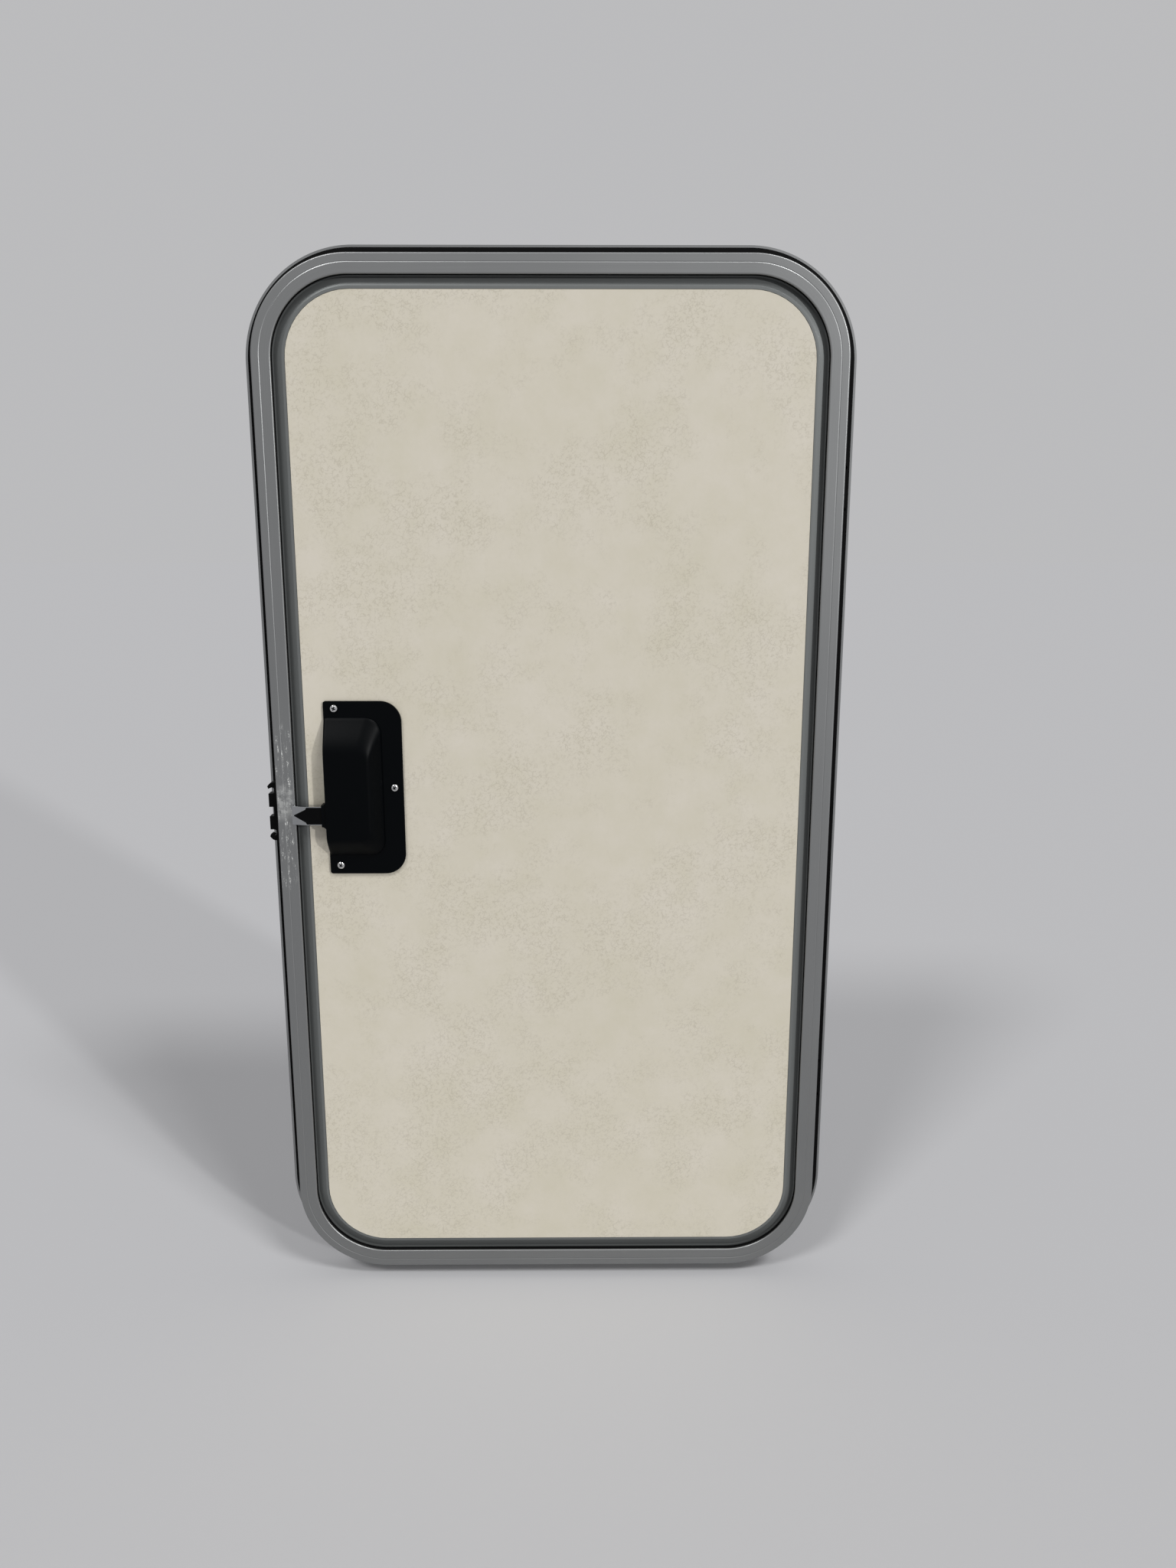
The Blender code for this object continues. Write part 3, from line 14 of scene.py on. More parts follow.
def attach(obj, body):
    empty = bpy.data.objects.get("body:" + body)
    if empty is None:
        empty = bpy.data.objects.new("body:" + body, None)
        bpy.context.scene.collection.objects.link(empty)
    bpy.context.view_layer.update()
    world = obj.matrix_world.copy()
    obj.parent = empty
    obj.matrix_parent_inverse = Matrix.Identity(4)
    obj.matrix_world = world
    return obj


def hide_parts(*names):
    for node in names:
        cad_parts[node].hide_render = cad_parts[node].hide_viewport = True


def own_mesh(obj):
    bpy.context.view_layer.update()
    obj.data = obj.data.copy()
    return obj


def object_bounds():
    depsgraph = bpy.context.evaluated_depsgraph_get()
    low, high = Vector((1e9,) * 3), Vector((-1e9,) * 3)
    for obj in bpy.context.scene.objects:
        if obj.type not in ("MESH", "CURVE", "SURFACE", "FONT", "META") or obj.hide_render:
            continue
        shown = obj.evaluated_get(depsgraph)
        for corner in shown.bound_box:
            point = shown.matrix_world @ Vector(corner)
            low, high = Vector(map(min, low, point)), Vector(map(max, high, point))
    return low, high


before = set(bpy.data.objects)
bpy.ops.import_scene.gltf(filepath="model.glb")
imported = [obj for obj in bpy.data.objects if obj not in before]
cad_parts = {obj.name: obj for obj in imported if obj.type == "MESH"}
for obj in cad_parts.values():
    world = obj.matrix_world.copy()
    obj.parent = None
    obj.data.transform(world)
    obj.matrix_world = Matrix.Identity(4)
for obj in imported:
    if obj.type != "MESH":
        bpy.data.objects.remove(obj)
cad_box = [list(corner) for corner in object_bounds()]

# %% [markdown]
# Every size below is in metres. The door's face is a rounded rectangle, and the profiles round it are
# drawn as sections: how far a point lies outside the face's outline, and its depth y. The room is on
# the side of -y, so a smaller y is nearer the eye. FIT is the gap that touching pieces keep.

# %% Sizes shared by the pieces
FACE_W = 0.535
FACE_H = 1.000
CORNER_R = 0.089
CENTRE_Z = 0.51075
FACE_Y = -0.030
FACE_BACK_Y = -0.0282
FLANGE_Y = 0.0030
PANEL_INSET = 0.0297
PANEL_Y = -0.0257
FIT = 0.0003
CORNER_STEPS = 40
print("face", FACE_W, "x", FACE_H, "corner radius", CORNER_R)

# %% [markdown]
# A bmesh becomes an object in three steps: clean it, store it in a mesh, and link it to the scene.
# The place stays in the mesh and the object at the origin, so that patterns that read Object
# coordinates fit the whole door. Shading is smooth, apart from edges sharper than an angle. The bent
# profiles take a smaller angle than the other pieces, so that their narrow flats look flat.

# %% From a bmesh to a piece
SMOOTH_ANGLE = math.radians(35)
PROFILE_ANGLE = math.radians(18)
SAME_POINT = 1e-6


def piece(name, bm, body, node, material, smooth=SMOOTH_ANGLE):
    """Makes an object from a bmesh. It rides on a body and stands for a CAD node."""
    bmesh.ops.remove_doubles(bm, verts=bm.verts, dist=SAME_POINT)
    bmesh.ops.recalc_face_normals(bm, faces=bm.faces)
    mesh = bpy.data.meshes.new(name)
    bm.to_mesh(mesh)
    bm.free()
    mesh.shade_smooth()
    mesh.set_sharp_from_angle(angle=smooth)
    mesh.materials.append(material)
    obj = bpy.data.objects.new(name, mesh)
    bpy.context.scene.collection.objects.link(obj)
    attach(obj, body)
    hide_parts(node)
    return obj


print("piece() is ready")

# %% [markdown]
# Finishes are made of shader nodes. Their maths could be wired node by node, but it reads best as
# plain expressions. So a small class wraps a socket: adding or multiplying two of them adds the Math
# node that does it.

# %% Sockets that can be calculated with
class Value:
    """A shader socket that adds Math nodes when it is calculated with."""

    def __init__(self, finish, socket):
        self.finish = finish
        self.socket = socket

    def math(self, operation, other=0.0, first=None):
        left = self if first is None else first
        return self.finish.node("Math", {"operation": operation}, {0: left, 1: other})

    def __add__(self, other):
        return self.math("ADD", other)

    def __radd__(self, other):
        return self.math("ADD", other)

    def __sub__(self, other):
        return self.math("SUBTRACT", other)

    def __rsub__(self, other):
        return self.math("SUBTRACT", self, first=other)

    def __mul__(self, other):
        return self.math("MULTIPLY", other)

    def __rmul__(self, other):
        return self.math("MULTIPLY", other)

    def __truediv__(self, other):
        return self.math("DIVIDE", other)

    def __pow__(self, other):
        return self.math("POWER", other)

    def __abs__(self):
        return self.math("ABSOLUTE")

    def highest(self, other):
        return self.math("MAXIMUM", other)

    def lowest(self, other):
        return self.math("MINIMUM", other)


print("Value wraps a socket")

# %% [markdown]
# Every finish needs the same few nodes: noises, ramps, colour mixes and a bump. One class makes the
# material and adds any node from its type, its settings and what its sockets get. The Mix node keeps
# its sockets for numbers, vectors and colours side by side, so its colour sockets have high numbers.

# %% One way to add every node
MIX_FACTOR = 0
MIX_COLOUR_A = 6
MIX_COLOUR_B = 7
MIX_COLOUR_OUT = 2


class Finish:
    """A material whose shader is built by expressions."""

    def __init__(self, name, colour, roughness, metallic=0.0):
        self.material = bpy.data.materials.new(name)
        self.material.use_nodes = True
        self.tree = self.material.node_tree
        self.shader = self.tree.nodes["Principled BSDF"]
        self.shader.inputs["Base Color"].default_value = (*colour, 1.0)
        self.shader.inputs["Roughness"].default_value = roughness
        self.shader.inputs["Metallic"].default_value = metallic
        where = self.tree.nodes.new("ShaderNodeTexCoord")
        self.place = Value(self, where.outputs["Object"])

    def node(self, kind, settings, inputs, output=0):
        """Adds a node. Each input gets a number, a colour or another node's Value."""
        made = self.tree.nodes.new("ShaderNode" + kind)
        for name, setting in settings.items():
            if name == "stops":
                self.set_stops(made.color_ramp, setting)
            else:
                setattr(made, name, setting)
        for name, given in inputs.items():
            if isinstance(given, Value):
                self.tree.links.new(given.socket, made.inputs[name])
            else:
                made.inputs[name].default_value = given
        return Value(self, made.outputs[output])

    def set_stops(self, ramp, stops):
        while len(ramp.elements) < len(stops):
            ramp.elements.new(0.5)
        for element, (position, level) in zip(ramp.elements, stops):
            element.position = position
            element.color = (level, level, level, 1.0)

    def axes(self):
        """The x, y and z of a point of the surface."""
        return [self.node("SeparateXYZ", {}, {"Vector": self.place}, k) for k in range(3)]

    def noise(self, vector, scale, detail=3.0, rough=0.5):
        sizes = {"Vector": vector, "Scale": scale, "Detail": detail, "Roughness": rough}
        return self.node("TexNoise", {}, sizes)

    def ramp(self, value, stops):
        return self.node("ValToRGB", {"stops": stops}, {"Fac": value})

    def rise(self, value, low, high):
        """0 below low, 1 above high."""
        return self.ramp(value, [(low, 0.0), (high, 1.0)])

    def fall(self, value, low, high):
        """1 below low, 0 above high."""
        return self.ramp(value, [(low, 1.0), (high, 0.0)])

    def mix(self, mask, first, second):
        colours = {MIX_FACTOR: mask, MIX_COLOUR_A: first, MIX_COLOUR_B: second}
        return self.node("Mix", {"data_type": "RGBA"}, colours, MIX_COLOUR_OUT)

    def feed(self, socket, value):
        self.tree.links.new(value.socket, self.shader.inputs[socket])

    def bump(self, height, distance):
        self.feed("Normal", self.node("Bump", {}, {"Height": height, "Distance": distance}))


print("Finish builds a material")

# %% [markdown]
# The frame and the leaf's edge are aluminium profiles, drawn through a die and anodised. The die
# leaves faint lines along the profile, which turn with it at each corner. The distance from the
# door's rounded outline is the same all along such a line, so that distance carries the pattern. A
# plain stretched noise would run straight on at the corners.

# %% Distance from the door's outline
def outline_distance(finish):
    """How far a point lies outside the face's outline, and its own x and z."""
    x, y, z = finish.axes()
    over_x = abs(x) - (FACE_W / 2 - CORNER_R)
    over_z = abs(z - CENTRE_Z) - (FACE_H / 2 - CORNER_R)
    out_x = over_x.highest(0.0)
    out_z = over_z.highest(0.0)
    round_part = (out_x * out_x + out_z * out_z) ** 0.5
    inner_part = over_x.highest(over_z).lowest(0.0)
    return round_part + inner_part - CORNER_R, x, z


print("outline_distance() follows the profile")

# %% [markdown]
# Beside the latch the frame's face has whitish residue: broken streaks along the profile, and a
# small haze level with the bolt. A noise stretched along z gives the streaks, a fine one breaks them
# up, and ramps keep both in their place. A colour ramp reads values from 0 to 1 and x runs from minus
# to plus, so half a metre is added to x first.

# %% Residue beside the latch
MARKS_Z = 0.510
MARKS_HALF_H = 0.085
HAZE_Z = 0.516
HAZE_HALF_H = 0.020
HAZE_SHARE = 0.4
RAMP_SHIFT = 0.5
MARKS_ACROSS = [(0.2325, 0.0), (0.2335, 1.0), (0.2485, 1.0), (0.2495, 0.0)]
STREAKS_ACROSS = 430.0
STREAKS_ALONG = 70.0
SPECK_SCALE = 800.0
HAZE_SCALE = 160.0


def residue_mask(made, x, z):
    """1 where the residue covers the metal, 0 where it is clean."""
    left = made.ramp(x + RAMP_SHIFT, MARKS_ACROSS)
    beside = made.fall(abs(z - MARKS_Z) / MARKS_HALF_H, 0.85, 1.0)
    stretch = made.node("CombineXYZ", {}, {"X": x * STREAKS_ACROSS, "Y": 0.0, "Z": z * STREAKS_ALONG})
    smear = made.rise(made.noise(stretch, 1.0, detail=4.0, rough=0.65), 0.54, 0.62)
    specks = made.rise(made.noise(made.place, SPECK_SCALE, detail=2.0, rough=0.6), 0.45, 0.58)
    near_bolt = made.fall(abs(z - HAZE_Z) / HAZE_HALF_H, 0.5, 1.0)
    cloud = made.rise(made.noise(made.place, HAZE_SCALE, rough=0.6), 0.40, 0.60)
    return left * ((smear * specks * beside).highest(near_bolt * cloud * HAZE_SHARE))


print("residue_mask() is ready")

# %% [markdown]
# Anodised aluminium is a satin metal. Its colour and roughness change a little from line to line and
# in broad soft clouds, and a very fine grain blurs its reflections. The frame and the leaf's edge
# share one recipe. The edge is given a darker colour than the frame's: that is painted shade, because
# the edge lies in the frame's shade. It is also duller, so it is less metallic.

# %% Anodised aluminium
LINE_SCALE = 2600.0
LINE_DRIFT = 7.0
CLOUD_SCALE = 9.0
SATIN_SCALE = 2400.0
SATIN_DEEP = 0.00002
DARKER = 0.93
LIGHTER = 1.07
RESIDUE = (0.70, 0.71, 0.68, 1.0)
RESIDUE_COVERS = 0.8
RESIDUE_ROUGH = 0.25


def aluminium(name, colour, roughness, metallic, marks):
    made = Finish(name, colour, roughness, metallic)
    out, x, z = outline_distance(made)
    along = made.node("CombineXYZ", {}, {"X": out * LINE_SCALE, "Y": x * LINE_DRIFT, "Z": z * LINE_DRIFT})
    lines = made.noise(along, 1.0, detail=2.0, rough=0.6)
    clouds = made.noise(made.place, CLOUD_SCALE)
    grain = made.noise(made.place, SATIN_SCALE, detail=2.0, rough=0.6)
    dark = tuple(level * DARKER for level in colour)
    light = tuple(level * LIGHTER for level in colour)
    tint = made.mix(lines * 0.5 + clouds * 0.5, (*dark, 1.0), (*light, 1.0))
    rough = roughness - 0.05 + lines * 0.06 + clouds * 0.05
    if marks:
        residue = residue_mask(made, x, z)
        tint = made.mix(residue * RESIDUE_COVERS, tint, RESIDUE)
        rough = rough + residue * RESIDUE_ROUGH
        made.feed("Metallic", 1.0 - residue * RESIDUE_COVERS)
    made.feed("Base Color", tint)
    made.feed("Roughness", rough)
    made.bump(lines * 0.7 + grain * 0.3, SATIN_DEEP)
    return made.material


frame_finish = aluminium("frame_aluminium_finish", (0.275, 0.280, 0.280), 0.38, 1.0, marks=True)
# painted shade: the leaf's edge gets a darker colour than the frame because it lies in shade
edge_painted_shade_finish = aluminium("edge_aluminium_painted_shade", (0.150, 0.158, 0.156), 0.45, 0.5, marks=False)
print("aluminium finishes made")

# %% [markdown]
# The leaf's inner face is thin board with a printed paper that looks like plaster or limestone:
# broad soft clouds of beige and grey, and small patches of fine darker flecks. A picture would need a
# file, so noises draw it: two of different scales make the clouds, and the cracks between small
# cells, bent a little and shown only inside patches, make the flecks.

# %% Printed stone board
BROAD_SCALE = 6.0
MIDDLE_SCALE = 26.0
FINE_SCALE = 260.0
PATCH_SCALE = 15.0
CELL_SCALE = 260.0
CRACK_WIDE = 0.13
BEND_SCALE = 150.0
BEND_FAR = 0.012
CLOUD_DARK = (0.530, 0.494, 0.394, 1.0)
CLOUD_LIGHT = (0.584, 0.543, 0.466, 1.0)
DUST = (0.42, 0.395, 0.32, 1.0)
DUST_SHARE = 0.20
FLECK = (0.28, 0.245, 0.180, 1.0)
FLECK_SHARE = 0.34
PAPER_DEEP = 0.00004


def stone_board():
    made = Finish("stone_board_finish", (0.60, 0.57, 0.49), 0.5)
    broad = made.noise(made.place, BROAD_SCALE, detail=4.0, rough=0.60)
    middle = made.noise(made.place, MIDDLE_SCALE, detail=5.0, rough=0.65)
    fine = made.noise(made.place, FINE_SCALE, detail=4.0, rough=0.65)
    patch = made.rise(made.noise(made.place, PATCH_SCALE, detail=5.0, rough=0.62), 0.44, 0.57)
    bend = {0: made.noise(made.place, BEND_SCALE), "Scale": BEND_FAR}
    bent = made.node("VectorMath", {"operation": "SCALE"}, bend)
    shifted = made.node("VectorMath", {"operation": "ADD"}, {0: made.place, 1: bent})
    cell_sizes = {"Vector": shifted, "Scale": CELL_SCALE}
    cells = made.node("TexVoronoi", {"feature": "DISTANCE_TO_EDGE"}, cell_sizes)
    cracks = made.fall(cells, 0.0, CRACK_WIDE)
    flecks = cracks * patch * made.rise(fine, 0.44, 0.53)
    cloud = made.rise(broad * 0.45 + middle * 0.55, 0.34, 0.66)
    tint = made.mix(cloud, CLOUD_DARK, CLOUD_LIGHT)
    tint = made.mix(fine * DUST_SHARE, tint, DUST)
    tint = made.mix(flecks * FLECK_SHARE, tint, FLECK)
    made.feed("Base Color", tint)
    made.feed("Roughness", 0.46 + fine * 0.10)
    made.bump(fine * 0.6 + middle * 0.4, PAPER_DEEP)
    return made.material


board_finish = stone_board()
print("stone board finish made")

# %% [markdown]
# Moulded black plastic isn't plain black: the mould is etched, so the surface has a fine grain that
# spreads the highlights, and handling leaves slightly glossier places. Rubber takes the same recipe
# with more roughness. Each differs in colour, gloss and size of grain.

# %% Black plastics and rubber
TOUCH_SCALE = 34.0
GRAIN_DEEP = 0.00002
GRAIN_DARKER = 0.85
GRAIN_LIGHTER = 1.25


def moulded(name, colour, roughness, gloss, grain_scale):
    made = Finish(name, colour, roughness)
    made.shader.inputs["Specular IOR Level"].default_value = gloss
    grain = made.noise(made.place, grain_scale, rough=0.6)
    touch = made.noise(made.place, TOUCH_SCALE, rough=0.55)
    dark = tuple(level * GRAIN_DARKER for level in colour)
    light = tuple(level * GRAIN_LIGHTER for level in colour)
    made.feed("Base Color", made.mix(grain * 0.6 + touch * 0.4, (*dark, 1.0), (*light, 1.0)))
    made.feed("Roughness", roughness - 0.06 + grain * 0.06 + touch * 0.06)
    made.bump(grain, GRAIN_DEEP)
    return made.material


abs_finish = moulded("black_abs_finish", (0.0004, 0.0008, 0.0012), 0.38, 0.06, 2600.0)
handle_finish = moulded("black_handle_finish", (0.009, 0.009, 0.010), 0.36, 0.35, 2000.0)
plastic_finish = moulded("black_plastic_finish", (0.0008, 0.0009, 0.0010), 0.42, 0.07, 1600.0)
rubber_finish = moulded("black_rubber_finish", (0.0012, 0.0012, 0.0013), 0.60, 0.06, 1200.0)
print("black finishes made")

# %% [markdown]
# The small metal parts are chromed zinc, zinc-plated steel and stainless steel. All are metallic, so
# one recipe serves. They differ in how sharp their reflections are and in how the plating or the
# brushing marks them: a fine haze, and a broader unevenness twelve times its size.

# %% Chrome, plated steel and stainless steel
SPREAD_RATIO = 12.0


def bright_metal(name, colour, roughness, mark_scale, mark_share, depth):
    made = Finish(name, colour, roughness, 1.0)
    haze = made.noise(made.place, mark_scale, rough=0.6)
    spread = made.noise(made.place, mark_scale / SPREAD_RATIO, detail=2.0)
    dull = tuple(level * (1.0 - mark_share) for level in colour)
    made.feed("Base Color", made.mix(haze * 0.5 + spread * 0.5, (*dull, 1.0), (*colour, 1.0)))
    made.feed("Roughness", roughness + haze * 0.06 + spread * 0.06)
    made.bump(haze, depth)
    return made.material


chrome_finish = bright_metal("chrome_finish", (0.40, 0.41, 0.42), 0.15, 700.0, 0.15, 0.000004)
zinc_finish = bright_metal("zinc_finish", (0.62, 0.62, 0.62), 0.16, 900.0, 0.25, 0.00001)
hinge_finish = bright_metal("hinge_finish", (0.52, 0.53, 0.54), 0.30, 1100.0, 0.15, 0.00001)
print("metal finishes made")

# %% [markdown]
# The outer skin is painted sheet and the core is rigid foam. Sprayed paint dries with a very fine
# orange peel and gathers dust in broad patches. The foam is made of small beads. A noise would have
# no beads in it, so a texture of cells draws them: the distance from each cell's middle is both
# their shade and their height.

# %% Paint and foam
PEEL_SCALE = 420.0
PEEL_DEEP = 0.00002
DIRT_SCALE = 12.0
BEAD_SCALE = 330.0
BEAD_DEEP = 0.0004


def painted():
    made = Finish("white_paint_finish", (0.80, 0.80, 0.78), 0.32)
    peel = made.noise(made.place, PEEL_SCALE, detail=2.0)
    dirt = made.noise(made.place, DIRT_SCALE, detail=4.0, rough=0.6)
    made.feed("Base Color", made.mix(dirt, (0.76, 0.76, 0.735, 1.0), (0.82, 0.82, 0.80, 1.0)))
    made.feed("Roughness", 0.28 + dirt * 0.10)
    made.bump(peel, PEEL_DEEP)
    return made.material


def foam():
    made = Finish("foam_finish", (0.85, 0.86, 0.88), 0.85)
    beads = made.node("TexVoronoi", {}, {"Vector": made.place, "Scale": BEAD_SCALE})
    made.feed("Base Color", made.mix(beads, (0.88, 0.89, 0.90, 1.0), (0.70, 0.71, 0.73, 1.0)))
    made.feed("Roughness", 0.75 + beads * 0.2)
    made.bump(beads, BEAD_DEEP)
    return made.material


paint_finish = painted()
foam_finish = foam()
print("paint and foam made")

# %% [markdown]
# The outer skin, the foam and a few parts inside the lock are flat or plain, and their solids are
# already right. They could be modelled again, but nothing would be won, so they keep their shape and
# only get their finish.

# %% Finishes on the solids
def dress(node, material):
    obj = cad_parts[node]
    if not obj.material_slots:
        obj.data.materials.append(material)
    for place in obj.material_slots:
        place.material = material


kept = {
    "outer_skin": paint_finish,
    "bolt_guide": plastic_finish,
    "lock_cam": zinc_finish,
    "handle_pin": zinc_finish,
    "cylinder_nut": zinc_finish,
}
for part in ("upper", "lower", "latch_side", "hinge_side"):
    kept["foam_core_" + part] = foam_finish
for node, material in kept.items():
    dress(node, material)
print("solids dressed:", len(kept))

# %% [markdown]
# The wall board shows right up to the leaf's rim. Its solid is a little small, so a copy is grown:
# each point of its border moves outwards, straight off a side and away from the centre of a corner.
# Scaling the copy would spoil its corners, because it would grow more in height than in width.

# %% Wall board
BOARD_GROWN = 0.0013
BOARD_BORDER = 0.0325
BOARD_ANGLE = math.radians(3)
SAME_SOLID_POINT = 3e-6

board = bmesh.new()
board.from_mesh(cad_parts["inner_panel"].data)
bmesh.ops.remove_doubles(board, verts=board.verts, dist=SAME_SOLID_POINT)
for vert in board.verts:
    straight_x = max(CORNER_R - FACE_W / 2, min(FACE_W / 2 - CORNER_R, vert.co.x))
    straight_z = max(CORNER_R - FACE_H / 2, min(FACE_H / 2 - CORNER_R, vert.co.z - CENTRE_Z))
    away = Vector((vert.co.x - straight_x, 0, vert.co.z - CENTRE_Z - straight_z))
    if away.length > CORNER_R - BOARD_BORDER:
        vert.co += away.normalized() * BOARD_GROWN
board = piece("wall_board", board, "leaf", "inner_panel", board_finish, BOARD_ANGLE)
print("wall board:", [round(size, 4) for size in board.dimensions])

# %% [markdown]
# The profiles run all the way round the door. A curve with a bevel object could carry them, but it
# squeezes the section at the corners. So a section is swept as the bending machine does it: its edges
# are extruded along each straight side and spun round each corner. The solids have few steps in their
# corners, and each profile is swept again with many, and with rounder edges.

# %% Sweep a section round the door
SAME_SWEPT_POINT = 2e-6


def arc(centre, radius, start, end, steps):
    """Points on a circle, from one angle in degrees to another."""
    turns = [math.radians(start + (end - start) * k / steps) for k in range(steps + 1)]
    return [(centre[0] + radius * math.cos(a), centre[1] + radius * math.sin(a)) for a in turns]


def extrude_loop(bm, loop):
    """Extrudes edges in place, and gives the new vertices and edges, ready to be moved."""
    made = bmesh.ops.extrude_edge_only(bm, edges=loop)["geom"]
    moved = [item for item in made if isinstance(item, bmesh.types.BMVert)]
    found = [item for item in made if isinstance(item, bmesh.types.BMEdge)]
    return moved, [edge for edge in found if all(v in moved for v in edge.verts)]


def sweep(section):
    """Carries a closed section once round the door, from the middle of its bottom side."""
    bm = bmesh.new()
    reach_x = FACE_W / 2 - CORNER_R
    reach_z = FACE_H / 2 - CORNER_R
    verts = [bm.verts.new((0, y, CENTRE_Z - FACE_H / 2 - out)) for out, y in section]
    edges = [bm.edges.new((verts[k - 1], verts[k])) for k in range(len(verts))]
    runs = [
        ((reach_x, 0, 0), (1, -1)),
        ((0, 0, 2 * reach_z), (1, 1)),
        ((-2 * reach_x, 0, 0), (-1, 1)),
        ((0, 0, -2 * reach_z), (-1, -1)),
        ((reach_x, 0, 0), None),
    ]
    for along, corner in runs:
        moved, edges = extrude_loop(bm, edges)
        bmesh.ops.translate(bm, verts=moved, vec=along)
        if corner:
            made = bmesh.ops.spin(
                bm,
                geom=edges + moved,
                cent=(corner[0] * reach_x, 0, CENTRE_Z + corner[1] * reach_z),
                axis=(0, -1, 0),
                angle=math.pi / 2,
                steps=CORNER_STEPS,
                use_merge=False,
            )["geom_last"]
            edges = [item for item in made if isinstance(item, bmesh.types.BMEdge)]
    bmesh.ops.remove_doubles(bm, verts=bm.verts, dist=SAME_SWEPT_POINT)
    return bm


print("sweep() is ready")

# %% [markdown]
# The frame's face is nearly 18 mm wide, with rounded edges and one fine groove. Behind it are the
# web, which passes through the wall, and the outer flange with a channel for its seal. All of that is
# one extrusion on the real door, so it is one section here. Arcs round its edges, because they catch
# the light, and a short support flat beside each arc keeps the shading of the wide face even.

# %% Frame profile
FACE_BAND = 0.0178
WEB_WALL = 0.0018
EDGE_R = 0.0012
EDGE_STEPS = 8
SUPPORT = 0.0003
GROOVE_AT = 0.0077
GROOVE_W = 0.0013
GROOVE_FLOOR_W = GROOVE_W / 6
GROOVE_DEEP = 0.00022
FLANGE_OUT = 0.012
LIP_W = 0.0020
CHANNEL_DEEP = 0.0015

lip_in = FLANGE_OUT - LIP_W
groove_y = FACE_Y + GROOVE_DEEP
section = arc((-EDGE_R, FACE_Y + EDGE_R), EDGE_R, 0, -90, EDGE_STEPS) + [(-EDGE_R - SUPPORT, FACE_Y)]
section += [(-GROOVE_AT + GROOVE_W / 2, FACE_Y), (-GROOVE_AT + GROOVE_FLOOR_W / 2, groove_y)]
section += [(-GROOVE_AT - GROOVE_FLOOR_W / 2, groove_y), (-GROOVE_AT - GROOVE_W / 2, FACE_Y)]
section += [(-FACE_BAND + EDGE_R + SUPPORT, FACE_Y)]
section += arc((-FACE_BAND + EDGE_R, FACE_Y + EDGE_R), EDGE_R, -90, -180, EDGE_STEPS)
section += [(-FACE_BAND, FACE_BACK_Y), (-WEB_WALL, FACE_BACK_Y), (-WEB_WALL, FLANGE_Y)]
section += arc((FLANGE_OUT - EDGE_R, FLANGE_Y - EDGE_R), EDGE_R, 90, 0, EDGE_STEPS)
section += [(FLANGE_OUT, 0), (lip_in, 0), (lip_in, CHANNEL_DEEP), (0, CHANNEL_DEEP)]
profile = piece(
    "frame_extrusion", sweep(section), "frame", "frame_profile", frame_finish,
    PROFILE_ANGLE,
)
print("frame:", len(profile.data.polygons), "faces")

# %% [markdown]
# Two rubber profiles: an oval one behind the frame's face, on which the leaf closes, and a flat one
# in the channel of the outer flange, which seals the frame to the wall. A bevelled curve would do for
# the oval one, but they run the same way round as the frame, so the same sweep fits both exactly.

# %% Rubber seals
SEAL_HALF_W = 0.0050
SEAL_THICK = 0.0059
SEAL_NOSE = 0.0003
SEAL_SINK = 0.0002
SEAL_SIDES = 20

middle_out = -FACE_BAND - SEAL_NOSE + SEAL_HALF_W
middle_y = FACE_BACK_Y + FIT + SEAL_THICK / 2
oval = arc((0, 0), 1, 0, 360, SEAL_SIDES)[:-1]
section = [(middle_out + SEAL_HALF_W * a, middle_y + SEAL_THICK / 2 * b) for a, b in oval]
piece("leaf_seal", sweep(section), "frame", "frame_seal", rubber_finish)

rim = lip_in - FIT
section = [(FIT, CHANNEL_DEEP - FIT), (FIT, 2 * SEAL_SINK), (2 * FIT, SEAL_SINK)]
section += [(rim - FIT, SEAL_SINK), (rim, 2 * SEAL_SINK), (rim, CHANNEL_DEEP - FIT)]
piece("wall_seal", sweep(section), "frame", "flange_seal", rubber_finish)
print("seals made")

# %% [markdown]
# The leaf's own edge profile has a narrow raised rim round the board, then falls in a soft slope to
# the flat on which the seal presses, and wraps round the leaf's edge to a lip on the outer side. It
# too is one section. Small chamfers and eased corners stand in for the radii of the real die.

# %% Leaf edge profile: sizes
RIM_Y = -0.0250
RIM_FLAT = 0.0029
RIM_ROUND = 0.0005
RIM_EASE = 0.00004
RIM_DROP = 0.0002
RIM_CHAMFER = 0.0003
RIM_CHAMFER_MIDDLE = 0.0001
RIM_SLOPE_END = 0.0186
RIM_WALL = 0.0015
RIM_LEDGE = 0.0070
REST_Y = -0.0217
LEAF_EDGE = -0.0030
LEAF_OUT_Y = 0.0035
LEAF_LIP_W = 0.023
LEAF_LIP_T = 0.0012
LEAF_LIP_CHAMFER = 0.0003
LEAF_CORNER_R = 0.0005
LEAF_CORNER_STEPS = 5
PANEL_BACK_Y = -0.0223
print("leaf edge profile:", round(RIM_SLOPE_END - LEAF_EDGE, 4), "wide at the seal")

# %% [markdown]
# The section starts on the ledge behind the board, climbs the rim, falls down the slope, goes round
# the leaf's edge to the lip, and comes back inside, one wall's thickness away.

